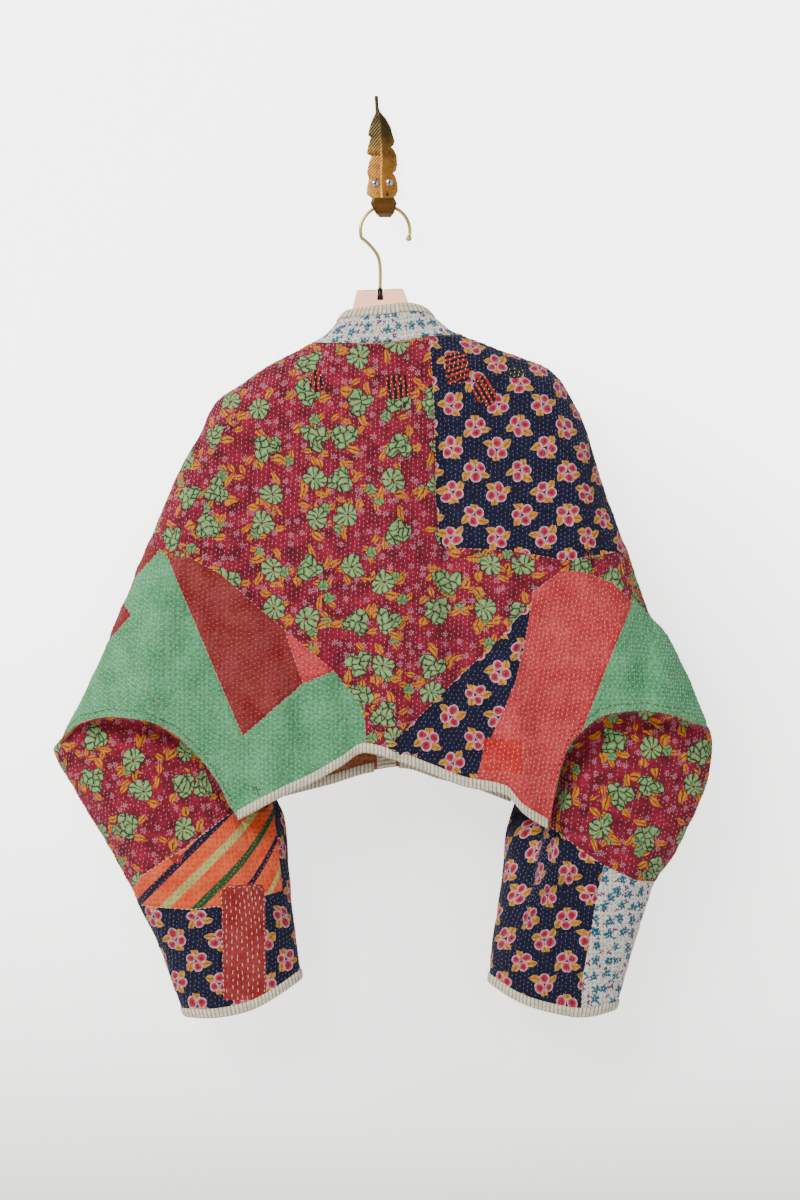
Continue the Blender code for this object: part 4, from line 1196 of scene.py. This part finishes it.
def on_skin(places, coordinates, outer, normals):
    """Points and facings of a skin at places in some coordinates of its points, and how far off each is."""
    finder = KDTree(len(coordinates))
    for i, (u, v) in enumerate(coordinates):
        finder.insert((u, v, 0.0), i)
    finder.balance()
    points, facings, distances = [], [], []
    for u, v in places:
        found = finder.find_n((u, v, 0.0), 4)
        weights = np.array([1 / (distance + 0.05) for _, _, distance in found])
        weights /= weights.sum()
        chosen = [index for _, index, _ in found]
        points.append(weights @ outer[chosen])
        facings.append(weights @ normals[chosen])
        distances.append(found[0][2])
    facings = np.array(facings)
    return np.array(points), facings / np.linalg.norm(facings, axis=1, keepdims=True), np.array(distances)


def running_stitches(skin, patches, base, base_angle, seams, edges, seed):
    """Rows of running stitches over a skin: points, facings, directions and lengths, by kind of thread."""
    outer, normals, cloth = skin
    dice = np.random.default_rng(seed)
    owner = patch_at(outer[:, [0, 2]], patches)
    found = {}
    for k in np.unique(owner):
        angle = math.radians(patches[k - 1][1] if k else base_angle)
        name = patches[k - 1][0] if k else base
        pitch, rows = (LONG_STITCH_PITCH, LONG_ROW_PITCH) if name == "red" else (STITCH_PITCH, ROW_PITCH)
        length = LONG_STITCH if name == "red" else STITCH
        low, high = cloth[owner == k].min(axis=0), cloth[owner == k].max(axis=0)
        middle, reach = (low + high) / 2, np.linalg.norm(high - low) / 2
        lines = np.arange(-reach, reach, rows)
        along = np.arange(-reach, reach, pitch)
        a, b = np.meshgrid(along, lines)
        a = a + (np.arange(len(lines)) % 2)[:, None] * pitch / 2
        a = a + dice.normal(0, 0.10 * pitch, a.shape)
        b = b + 1.0 * smooth_noise(a, b, 45, seed + int(k)) + dice.normal(0, 0.05 * rows, b.shape)
        cos, sin = math.cos(angle), math.sin(angle)
        places = np.stack([a * cos - b * sin, a * sin + b * cos], axis=2).reshape(-1, 2) + middle
        places = places[np.all((places > low - 2) & (places < high + 2), axis=1)]
        places = places[dice.random(len(places)) > 0.03]
        points, facings, off = on_skin(places, cloth, outer, normals)
        flat = points[:, [0, 2]]
        keep = (off < 2.6) & (patch_at(flat, patches) == k)
        keep &= line_distance(flat, seams) > 2.2
        keep &= line_distance(flat, edges) > TAPE_HEIGHT + 1.0
        count = int(keep.sum())
        turned = angle + dice.normal(0, 0.09, count)
        heading = np.stack([np.cos(turned), np.zeros(count), np.sin(turned)], axis=1)
        sizes = length * (1 + dice.normal(0, 0.12, count))
        found.setdefault(THREAD_ON[name], []).append((points[keep], facings[keep], heading, sizes))
    return found


def seam_stitches(skin, lines, pitch, length, seed):
    """Stitches along lines in the garment's plane, on the side that faces the viewer."""
    outer, normals, _ = skin
    facing_viewer = normals[:, 1] < -0.1
    outer, normals = outer[facing_viewer], normals[facing_viewer]
    dice = np.random.default_rng(seed)
    places, heading = [], []
    for line in lines:
        line = np.array(line, float)
        run = run_along(line)
        steps = np.arange(pitch / 2, run[-1], pitch)
        steps = steps + dice.normal(0, 0.08 * pitch, len(steps))
        for step in steps:
            near = (step, step + 2.0, step - 2.0)
            here, ahead, behind = (np.array([np.interp(at, run, line[:, k]) for k in (0, 1)]) for at in near)
            places.append(here + dice.normal(0, 0.25, 2))
            turn = math.atan2(*(ahead - behind)[::-1]) + dice.normal(0, 0.12)
            heading.append((math.cos(turn), 0.0, math.sin(turn)))
    points, facings, off = on_skin(places, outer[:, [0, 2]], outer, normals)
    keep = off < 2.6
    sizes = length * (1 + dice.normal(0, 0.12, len(points)))
    return points[keep], facings[keep], np.array(heading)[keep], sizes[keep]


def stitch_tree():
    """Geometry Nodes that lay a small block at each point, turned by the point's own two directions."""
    tree = bpy.data.node_groups.new("Stitches", "GeometryNodeTree")
    face = tree.interface
    face.new_socket("Geometry", in_out="OUTPUT", socket_type="NodeSocketGeometry")
    face.new_socket("Geometry", in_out="INPUT", socket_type="NodeSocketGeometry")
    for label in ("Width", "Height", "Unevenness"):
        face.new_socket(label, in_out="INPUT", socket_type="NodeSocketFloat")
    face.new_socket("Seed", in_out="INPUT", socket_type="NodeSocketInt")
    face.new_socket("Thread", in_out="INPUT", socket_type="NodeSocketMaterial")
    nodes = Nodes(tree)
    given = tree.nodes.new("NodeGroupInput").outputs
    facing, heading, length = (
        nodes.new("GeometryNodeInputNamedAttribute", {"Name": label}, data_type=kind)
        for label, kind in (("facing", "FLOAT_VECTOR"), ("heading", "FLOAT_VECTOR"), ("length", "FLOAT")))
    turned = nodes.new("FunctionNodeAxesToRotation", primary_axis="Z", secondary_axis="X")
    nodes.put(facing.outputs["Attribute"], turned.inputs[0])
    nodes.put(heading.outputs["Attribute"], turned.inputs[1])
    uneven = Value(nodes, given["Unevenness"])
    smallest = uneven * -1.0 + 1.0
    chance = nodes.new("FunctionNodeRandomValue", data_type="FLOAT")
    nodes.put(smallest, chance.inputs[2])
    nodes.put(uneven + 1.0, chance.inputs[3])
    nodes.put(given["Seed"], chance.inputs["Seed"])
    wide = Value(nodes, given["Width"]) * Value(nodes, chance.outputs[1])
    size = nodes.new("ShaderNodeCombineXYZ", {0: length.outputs["Attribute"], 1: wide, 2: given["Height"]})
    block = nodes.new("GeometryNodeMeshCube", {"Size": (1.0, 1.0, 1.0)})
    laid = {"Points": given["Geometry"], "Instance": block.outputs[0]}
    placed = nodes.new("GeometryNodeInstanceOnPoints", laid)
    nodes.put(turned.outputs[0], placed.inputs["Rotation"])
    nodes.put(size.outputs[0], placed.inputs["Scale"])
    real = nodes.new("GeometryNodeRealizeInstances", {"Geometry": placed.outputs[0]})
    dressed = nodes.new("GeometryNodeSetMaterial", {"Geometry": real.outputs[0], "Material": given["Thread"]})
    out = tree.nodes.new("NodeGroupOutput")
    nodes.put(dressed.outputs[0], out.inputs[0])
    return tree


def set_inputs(modifier, values):
    """Sets a node modifier's inputs by their sockets' identifiers."""
    for item in modifier.node_group.interface.items_tree:
        if item.in_out == "INPUT" and item.name in values:
            modifier[item.identifier] = values[item.name]


def sew(name, tree, batches, thread, width=STITCH_WIDTH):
    """One plain mesh of stitches from points, facings, headings and lengths."""
    points, facings, headings, sizes = (np.concatenate(part) for part in zip(*batches))
    lean = np.sum(headings * facings, axis=1, keepdims=True)
    flat = headings - facings * lean
    weak = np.linalg.norm(flat, axis=1) < 0.3
    flat[weak] = (np.array([0.0, 1.0, 0.0]) - facings * facings[:, 1:2])[weak]
    flat /= np.linalg.norm(flat, axis=1, keepdims=True)
    mesh = bpy.data.meshes.new(name)
    mesh.from_pydata([tuple(p) for p in (points + facings * STITCH_LIFT) * MM], [], [])
    for label, values in (("facing", facings), ("heading", flat)):
        mesh.attributes.new(label, "FLOAT_VECTOR", "POINT").data.foreach_set("vector", values.ravel())
    mesh.attributes.new("length", "FLOAT", "POINT").data.foreach_set("value", sizes * MM)
    piece = add_object(name, mesh)
    modifier = piece.modifiers.new("Stitches", "NODES")
    modifier.node_group = tree
    values = {"Width": width * MM, "Height": STITCH_HEIGHT * MM, "Unevenness": 0.2, "Seed": len(points) % 97}
    set_inputs(modifier, {**values, "Thread": thread})
    seen = bpy.context.evaluated_depsgraph_get()
    done = bpy.data.meshes.new_from_object(piece.evaluated_get(seen))
    piece.modifiers.clear()
    piece.data = done
    bpy.data.meshes.remove(mesh)
    return piece


def sew_by_thread(name, tree, found, threads):
    """A mesh of stitches for each kind of thread."""
    return [sew(name + "_" + kind, tree, batches, threads[kind]) for kind, batches in found.items()]


def thread_material(name, color):
    material, _, shader = surface(name, 0.8, color=color)
    shader.inputs["Specular IOR Level"].default_value = 0.3
    return material


def lofted(name, sections, material):
    """A smooth closed body through cross-sections that all have the same number of points."""
    count = len(sections[0])
    faces = []
    for i in range(len(sections) - 1):
        here, there = i * count, (i + 1) * count
        for j in range(count):
            k = (j + 1) % count
            faces.append((here + j, here + k, there + k, there + j))
    faces.append(tuple(range(count))[::-1])
    faces.append(tuple((len(sections) - 1) * count + j for j in range(count)))
    mesh = bpy.data.meshes.new(name)
    mesh.from_pydata([tuple(p * MM) for p in np.concatenate(sections)], [], faces)
    mesh.materials.append(material)
    face_out(mesh)
    mesh.polygons.foreach_set("use_smooth", [len(p.vertices) == 4 for p in mesh.polygons])
    return add_object(name, mesh)


def tube(name, path, radii, sides, material):
    """A round bar along a path."""
    path = np.array(path, float)
    sections = []
    for i, (point, radius) in enumerate(zip(path, radii)):
        along = path[min(i + 1, len(path) - 1)] - path[max(i - 1, 0)]
        along /= np.linalg.norm(along)
        side = np.cross(along, (0, 1, 0) if abs(along[1]) < 0.9 else (1, 0, 0))
        side /= np.linalg.norm(side)
        other = np.cross(along, side)
        turns = 2 * np.pi * np.arange(sides) / sides
        sections.append(point + radius * (np.outer(np.cos(turns), side) + np.outer(np.sin(turns), other)))
    return lofted(name, sections, material)


def hanger(material):
    """The clear plate, with its edges rounded."""
    shape = bmesh.new()
    front = [shape.verts.new((x * MM, (HANGER_Y - HANGER_THICK / 2) * MM, z * MM)) for x, z in HANGER_OUTLINE]
    back = [shape.verts.new((x * MM, (HANGER_Y + HANGER_THICK / 2) * MM, z * MM)) for x, z in HANGER_OUTLINE]
    shape.faces.new(front)
    shape.faces.new(back[::-1])
    for i in range(len(front)):
        k = (i + 1) % len(front)
        shape.faces.new((front[i], back[i], back[k], front[k]))
    rims = [e for e in shape.edges if abs(e.verts[0].co.y - e.verts[1].co.y) < 1e-6]
    bmesh.ops.bevel(shape, geom=rims, offset=0.5 * MM, segments=2, affect="EDGES", profile=0.5)
    mesh = bpy.data.meshes.new("hanger_look")
    shape.to_mesh(mesh)
    shape.free()
    mesh.materials.append(material)
    face_out(mesh)
    return add_object("hanger_look", mesh)


def hanger_hook(material):
    stem = traced(STEM)
    path = [(*stem(share)[:1], HANGER_Y, stem(share)[1]) for share in np.linspace(0, 1, 40, endpoint=False)]
    for turn in np.radians(np.linspace(ARCH_FROM, ARCH_TO, 90)):
        path.append((ARCH_X + ARCH_RADIUS * math.cos(turn), HANGER_Y, ARCH_Z + ARCH_RADIUS * math.sin(turn)))
    radii = [WIRE_RADIUS] * len(path)
    end = np.array(path[-1])
    onward = end - np.array(path[-2])
    onward /= np.linalg.norm(onward)
    for turn in np.linspace(-0.62, math.pi / 2 - 0.08, 14):
        path.append(tuple(end + onward * (BALL_REACH + BALL_RADIUS * math.sin(turn))))
        radii.append(BALL_RADIUS * math.cos(turn))
    return tube("hanger_hook_look", path, radii, 24, material)


def leaf_hook(material):
    """The cast leaf: a lobed plate with a rib and slanting veins, running on into the hook's curl."""
    rows = np.array(LEAF, float)
    shares = np.linspace(0, 1, len(rows))
    course = [np.interp(np.linspace(0, 1, LEAF_STEPS), shares, rows[:, k]) for k in range(7)]
    for k in range(7):
        for _ in range(3):
            course[k][1:-1] = (course[k][:-2] + 2 * course[k][1:-1] + course[k][2:]) / 4
    course = np.array(course).T
    left_edge = np.array(LEAF_LEFT, float)[::-1]
    right_edge = np.array(LEAF_RIGHT, float)[::-1]
    sections = []
    wide = np.linspace(-1, 1, LEAF_COLUMNS)
    for i, (x, y, z, left, right, front, back) in enumerate(course):
        along = course[min(i + 1, len(course) - 1), 1:3] - course[max(i - 1, 0), 1:3]
        along /= np.linalg.norm(along)
        plate = np.clip((z + 50) / 6, 0, 1) if y > -8 else 0.0
        behind = np.array([-along[1], along[0]]) * (1 - plate) + np.array([1.0, 0.0]) * plate
        behind /= np.linalg.norm(behind)
        if plate > 0:
            leftmost, rightmost = (np.interp(z, edge[:, 1], edge[:, 0]) for edge in (left_edge, right_edge))
            left = left * (1 - plate) + plate * max(x - leftmost, 1.2)
            right = right * (1 - plate) + plate * max(rightmost - x, 1.2)
        offsets = np.where(wide < 0, wide * left, wide * right)
        run = z if y > -8 else -60 - abs(y)
        aside = np.abs(offsets)
        veins = 0.75 * np.cos(2 * np.pi * (run + 1.15 * aside) / VEIN_PITCH) * np.clip(aside / 3, 0, 1)
        rib = 1.0 * np.exp(-((offsets / 1.3) ** 2))
        crown = front * (1 - 0.55 * np.abs(wide) ** 2.2)
        height = crown + (veins * (1 - np.abs(wide) ** 6) + rib) * min(1.0, left / 5)
        skin = [(x + o, y - behind[0] * h, z - behind[1] * h) for o, h in zip(offsets, height)]
        flat = [(x + o * 0.92, y + behind[0] * back, z + behind[1] * back) for o in offsets[::-1][::4]]
        sections.append(np.array(skin + flat))
    return lofted("wall_hook_look", sections, material)


def screw(name, x, z, material, dark):
    """A domed head with a cross cut in it, drawn as two dark bars let into the dome."""
    path, radii = [], []
    for turn in np.linspace(0.0, math.pi / 2 - 0.12, 9):
        path.append((x, SCREW_Y - SCREW_DOME * math.sin(turn), z))
        radii.append(SCREW_RADIUS * math.cos(turn))
    path.insert(0, (x, SCREW_Y + 0.2, z))
    radii.insert(0, SCREW_RADIUS)
    head = tube(name + "_look", path, radii, 32, material)
    bars = []
    for k, (wide, tall) in enumerate(((3.6, 0.8), (0.8, 3.6))):
        bars.append(block(name + "_cut_%d" % k, (x, SCREW_Y - SCREW_DOME - 0.02, z), (wide, 0.5, tall), dark))
    return head, bars


def block(name, middle, size, material):
    shape = bmesh.new()
    bmesh.ops.create_cube(shape, size=1.0)
    for vert in shape.verts:
        vert.co = [(m + s * c) * MM for m, s, c in zip(middle, size, vert.co)]
    mesh = bpy.data.meshes.new(name)
    shape.to_mesh(mesh)
    shape.free()
    mesh.materials.append(material)
    return add_object(name, mesh)


def gilt_group():
    """Gilding with wear over dark bronze, from a place in millimetres: darker upwards and in patches, with
    painted shade, a darker brown, on the curl below.
    """
    nodes, place, out = group("Worn gilding with painted shade")
    height = nodes.new("ShaderNodeSeparateXYZ", {0: place}).outputs[2]
    upper = Value(nodes, height) / 50.0 + nodes.noise(place, 0.12, 4.0) * 1.2 - 0.15
    upper = upper.math("MINIMUM", 1.0, clamp=True)
    # painted shade: below z = -50 mm the curl turns darker brown
    curl = (Value(nodes, height) * -1.0 - 50.0).math("MULTIPLY", 0.14, clamp=True)
    gold = nodes.mixed(nodes.noise(place, 0.35, 3.0), linear(214, 150, 64), linear(158, 98, 34))
    worn_and_shaded = nodes.mixed(upper, gold, linear(80, 66, 32))
    worn_and_shaded = nodes.mixed(curl * 0.8, worn_and_shaded, linear(86, 60, 22))
    dark = (nodes.noise(place, 0.2, 5.0) - 0.56).math("MULTIPLY", 6.0, clamp=True)
    nodes.put(nodes.mixed(dark, worn_and_shaded, linear(62, 46, 20)), out)
    return nodes.tree


def rows_tape(name, grid, chosen, material, closed=False):
    """Tape over a grid's last row, at the chosen columns."""
    return tape(name, grid[chosen, -1], grid[chosen, -4], skin_normals(grid)[chosen, -1], closed, material)


def dress(piece, nodes, with_pieces=()):
    """Sets a piece on its body and hides the CAD nodes it stands for."""
    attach(piece, "root")
    if nodes:
        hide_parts(*nodes)


materials = cloth_materials()
threads = {
    "rose": thread_material("rose_thread", linear(226, 140, 158)),
    "lavender": thread_material("lavender_thread", linear(112, 112, 158)),
    "salmon": thread_material("salmon_thread", linear(248, 176, 160)),
    "brick": thread_material("brick_thread", linear(222, 112, 102)),
    "pale_mint": thread_material("pale_mint_thread", linear(184, 232, 200)),
    "cream": thread_material("cream_thread", linear(236, 214, 200)),
}
dark_thread = thread_material("dark_thread", linear(70, 38, 30))

# Body
left_end, right_end = MIDDLE_X - FRONT_EDGE_X, MIDDLE_X + FRONT_EDGE_X
back_columns = np.linspace(RIGHT_END_X, LEFT_END_X, round((RIGHT_END_X - LEFT_END_X) / BACK_CELL))
front_columns = {
    "left": np.linspace(LEFT_END_X, left_end, round((MIDDLE_X - LEFT_END_X) / FRONT_CELL)),
    "right": np.linspace(right_end, RIGHT_END_X, round((RIGHT_END_X - MIDDLE_X) / FRONT_CELL)),
}
back_grid, back_cloth = panel_grid(back_columns, -1, neck_back, lower_back, BACK_ROWS)
back_seams = [on_chart(line) for line in BACK_SEAMS]
back, back_skin = cloth_piece(
    "back_look", back_grid, back_cloth, BACK_PATCHES, back_seams, "magenta", "lining", materials, (0, 4))
front_grids, fronts = {}, {}
for side, columns in front_columns.items():
    grid, cloth = panel_grid(columns, 1, neck_front, lower_front, FRONT_ROWS)
    front_grids[side] = grid
    fronts[side] = cloth_piece(
        "front_%s_look" % side, grid, cloth, [], [], "magenta", "lining", materials, (0, 3))

# Sleeves
sleeves = {}
for end, side, patches, seams in (
        (0, "left", LEFT_SLEEVE_PATCHES, LEFT_SLEEVE_SEAMS),
        (-1, "right", RIGHT_SLEEVE_PATCHES, RIGHT_SLEEVE_SEAMS)):
    grid, cloth = sleeve_grid(side, back_grid, front_grids[side], (HEM_BACK[end][0], HEM_FRONT[end][0]))
    lines = [on_chart(line) for line in seams]
    piece, skin = cloth_piece(
        "sleeve_%s_look" % side, grid, cloth, patches, lines, "magenta", "lining", materials, (0, 4), "navy")
    sleeves[side] = (grid, patches, lines, piece, skin)

# Collar
neck_grid, neck_cloth = collar_grid(back_grid, front_grids["left"], front_grids["right"])
collar, collar_skin = cloth_piece(
    "collar_look", neck_grid, neck_cloth, [], [], "white", "lining", materials, (0, 3))

# Tapes, each over a grid's last row at some of its columns or down a front's edge
left_grid, right_grid = front_grids["left"], front_grids["right"]
left_x, right_x = front_columns["left"], front_columns["right"]
tapes = {}
for name, grid, chosen in (
        ("hem_back", back_grid, (back_columns >= HEM_BACK[0][0]) & (back_columns <= HEM_BACK[-1][0])),
        ("hem_left", left_grid, (left_x >= HEM_FRONT[0][0]) & (left_x < left_end - TAPE_HEIGHT)),
        ("hem_right", right_grid, (right_x <= HEM_FRONT[-1][0]) & (right_x > right_end + TAPE_HEIGHT))):
    tapes[name] = rows_tape(name + "_tape", grid, np.flatnonzero(chosen), materials["tape"])
for name, grid, edge, inward in (("edge_left", left_grid, -1, -3), ("edge_right", right_grid, 0, 2)):
    facing = skin_normals(grid)[edge]
    tapes[name] = tape(name + "_tape", grid[edge], grid[inward], facing, False, materials["tape"])
tapes["collar"] = rows_tape("collar_tape", neck_grid, np.arange(len(neck_grid)), materials["tape"])
for side, (grid, *_) in sleeves.items():
    name = "cuff_" + side
    tapes[name] = rows_tape(name + "_tape", grid, np.arange(len(grid) - 1), materials["tape"], True)

# Stitches
tree = stitch_tree()
hem_line = [(x, z) for x, z in back_grid[::6, -1, [0, 2]] if HEM_BACK[0][0] <= x <= HEM_BACK[-1][0]]
rows = running_stitches(back_skin, BACK_PATCHES, "magenta", 88, back_seams, [hem_line], 11)
rows["salmon"].append(seam_stitches(back_skin, back_seams, 5.6, 2.3, 12))
stitches = {"back": sew_by_thread("back_stitches", tree, rows, threads)}
inset = [[(x, z + 9) for x, z in armhole[1:-1]] for armhole in (ARMHOLE_BACK_LEFT, ARMHOLE_BACK_RIGHT)]
dark_rows = seam_stitches(back_skin, inset, 4.6, 3.0, 13)
marks = seam_stitches(back_skin, [on_chart(line) for line in MARKS], 3.0, 3.4, 14)
stitches["back"].append(sew("back_marks", tree, [dark_rows, marks], dark_thread))
for side, (_, skin) in fronts.items():
    edge = front_grids[side][::4, -1, [0, 2]]
    line = [(x, z) for x, z in edge if HEM_FRONT[0][0] <= x <= HEM_FRONT[-1][0]]
    rows = running_stitches(skin, [], "magenta", 90, [], [line], 21)
    stitches["front_" + side] = sew_by_thread("front_%s_stitches" % side, tree, rows, threads)
for side, (grid, patches, lines, _, skin) in sleeves.items():
    cuff_line = [(x, z) for x, z in grid[::4, -1, [0, 2]]]
    rows = running_stitches(skin, patches, "magenta", 78, lines, [cuff_line], 31)
    rows.setdefault("cream", []).append(seam_stitches(skin, lines, 5.6, 2.7, 32))
    stitches["sleeve_" + side] = sew_by_thread("sleeve_%s_stitches" % side, tree, rows, threads)
rows = running_stitches(collar_skin, [], "white", 0, [], [], 41)
stitches["collar"] = sew_by_thread("collar_stitches", tree, rows, threads)

# Hanger and hook
clear, _, _ = surface("clear_rose", 0.06, color=linear(202, 150, 124), Transmission_Weight=0.92, IOR=1.49)
wire, _, _ = surface("pale_gold", 0.3, 1.0, linear(236, 204, 128))
steel, _, _ = surface("bright_steel", 0.16, 1.0, linear(214, 216, 220))
dark, _, _ = surface("dark_metal", 0.4, 0.8, linear(58, 52, 50))
gilt, gilt_nodes, gilt_shader = surface("worn_and_shaded_gilt", 0.36, 0.72)
here = gilt_nodes.scaled(gilt_nodes.new("ShaderNodeTexCoord").outputs["Object"], 1 / MM)
gilding = gilt_nodes.new("ShaderNodeGroup", {"Place": here}, node_tree=gilt_group())
gilt_nodes.put(gilding.outputs["Color"], gilt_shader.inputs["Base Color"])
hanger_piece = hanger(clear)
hook_piece = hanger_hook(wire)
leaf_piece = leaf_hook(gilt)
ferrule_path = [(STEM[0][0], HANGER_Y, z) for z in (-171.0, -165.0, -158.0)]
ferrule = tube("ferrule_look", ferrule_path, [FERRULE_RADIUS] * len(ferrule_path), 24, dark)
screws = {side: screw("screw_" + side, x, z, steel, dark) for side, (x, z) in SCREWS.items()}

# What each piece stands for
*back_rows, back_marks = stitches["back"]
dress(back, ["back"], [tapes["hem_back"], back_marks, *back_rows])
for side, (piece, _) in fronts.items():
    name = "front_" + side
    sewn_on = [tapes["hem_" + side], tapes["edge_" + side], *stitches[name]]
    dress(piece, [name], sewn_on)
for side, (_, _, _, piece, _) in sleeves.items():
    name = "sleeve_" + side
    dress(piece, [name], [tapes["cuff_" + side], *stitches[name]])
dress(collar, ["collar"], [tapes["collar"], *stitches["collar"]])
for name, piece in tapes.items():
    dress(piece, ["binding_" + name])
for name, pieces in stitches.items():
    for piece in pieces:
        dress(piece, [])
mount = {"hanger": hanger_piece, "hanger_hook": hook_piece, "wall_hook": leaf_piece, "ferrule": ferrule}
for name, piece in mount.items():
    dress(piece, [name])
for side, (head, bars) in screws.items():
    dress(head, ["screw_" + side])
    for bar in bars:
        dress(bar, [])


def sheet_of(name, corners, material):
    mesh = bpy.data.meshes.new(name)
    mesh.from_pydata(corners, [], [(0, 1, 2, 3)])
    mesh.materials.append(material)
    return add_object(name, mesh)


def wall_material():
    """Pale paint that is seen only from the room. It glows for the camera, straight or through the hanger.
    The glow holds a painted soft shadow of the jacket and painted shade that grows towards the floor.
    """
    material, nodes, shader = surface("wall_paint", 0.9, color=linear(238, 236, 233))
    shader.inputs["Specular IOR Level"].default_value = 0.1
    shader.inputs["Emission Color"].default_value = (1.0, 0.99, 0.965, 1.0)
    tree = material.node_tree
    here = nodes.new("ShaderNodeSeparateXYZ", {0: nodes.new("ShaderNodeTexCoord").outputs["Object"]})
    x, z = Value(nodes, here.outputs[0]), Value(nodes, here.outputs[2])
    # painted shade: the glow fades towards the floor
    low = (z * -1.0 - 0.3).math("MULTIPLY", 0.9, clamp=True)
    # painted shadow of the jacket: a soft ellipse of less glow, a little right of and below the jacket's
    # middle
    right, up = (x - 0.12) / 0.5, (z + 0.68) / 0.46
    shade = (right * right * -1.0 - up * up + 1.0).math("MAXIMUM", 0.0)
    path = tree.nodes.new("ShaderNodeLightPath").outputs
    seen = (Value(nodes, path["Is Camera Ray"]) + Value(nodes, path["Is Transmission Ray"])) * WALL_GLOW
    glow = seen * (low * low * -1.1 + 1.0) * (shade * -0.5 + 1.0)
    nodes.put(glow, shader.inputs["Emission Strength"])
    clear = tree.nodes.new("ShaderNodeBsdfTransparent")
    both = tree.nodes.new("ShaderNodeMixShader")
    tree.links.new(tree.nodes.new("ShaderNodeNewGeometry").outputs["Backfacing"], both.inputs[0])
    tree.links.new(shader.outputs[0], both.inputs[1])
    tree.links.new(clear.outputs[0], both.inputs[2])
    tree.links.new(both.outputs[0], tree.nodes["Material Output"].inputs["Surface"])
    return material


def area_light(name, at, toward, width, height, power, color=(1.0, 1.0, 1.0)):
    lamp = bpy.data.lights.new(name, "AREA")
    lamp.shape = "RECTANGLE"
    lamp.size, lamp.size_y, lamp.energy, lamp.color = width, height, power, color
    piece = bpy.data.objects.new(name, lamp)
    piece.location = at
    piece.rotation_euler = (Vector(toward) - Vector(at)).to_track_quat("-Z", "Y").to_euler()
    bpy.context.scene.collection.objects.link(piece)


# Room, light and camera, in metres. The wall looks brighter than its light makes it, as in an exposure for
# cloth.
WALL_Y, FLOOR_Z = 0.002, -1.35
ROOM_HALF_WIDTH, ROOM_DEPTH, CEILING_Z = 4, 6, 2.4
WALL_GLOW = 4.2
WORLD_LIGHT = 0.42
WINDOW_WATTS, FILL_WATTS = 112, 15
CAMERA_AT = (0.0207, -2.66, -0.5175)
LENS = 68
paint = wall_material()
floor_paint, _, _ = surface("floor_paint", 0.7, color=linear(226, 222, 216))
foot_left, foot_right = (-ROOM_HALF_WIDTH, WALL_Y, FLOOR_Z), (ROOM_HALF_WIDTH, WALL_Y, FLOOR_Z)
wall_top = [(ROOM_HALF_WIDTH, WALL_Y, CEILING_Z), (-ROOM_HALF_WIDTH, WALL_Y, CEILING_Z)]
floor_near = [(-ROOM_HALF_WIDTH, -ROOM_DEPTH, FLOOR_Z), (ROOM_HALF_WIDTH, -ROOM_DEPTH, FLOOR_Z)]
wall = sheet_of("wall", [foot_left, foot_right, *wall_top], paint)
floor = sheet_of("floor", [*floor_near, foot_right, foot_left], floor_paint)
world = bpy.data.worlds.new("room")
bpy.context.scene.world = world
world.use_nodes = True
world.node_tree.nodes["Background"].inputs["Color"].default_value = (0.92, 0.94, 1.0, 1.0)
world.node_tree.nodes["Background"].inputs["Strength"].default_value = WORLD_LIGHT
area_light("window", (-1.9, -2.1, 1.5), (0.0, 0.0, -0.6), 1.3, 1.3, WINDOW_WATTS, (1.0, 0.98, 0.955))
area_light("fill", (2.2, -2.6, 0.1), (0.0, 0.0, -0.5), 2.6, 2.4, FILL_WATTS, (0.96, 0.97, 1.0))
lens = bpy.data.cameras.new("camera")
lens.sensor_width = 36
lens.lens = LENS
camera = bpy.data.objects.new("camera", lens)
camera.location = CAMERA_AT
camera.rotation_euler = (math.radians(90), 0, 0)
bpy.context.scene.collection.objects.link(camera)
bpy.context.scene.camera = camera
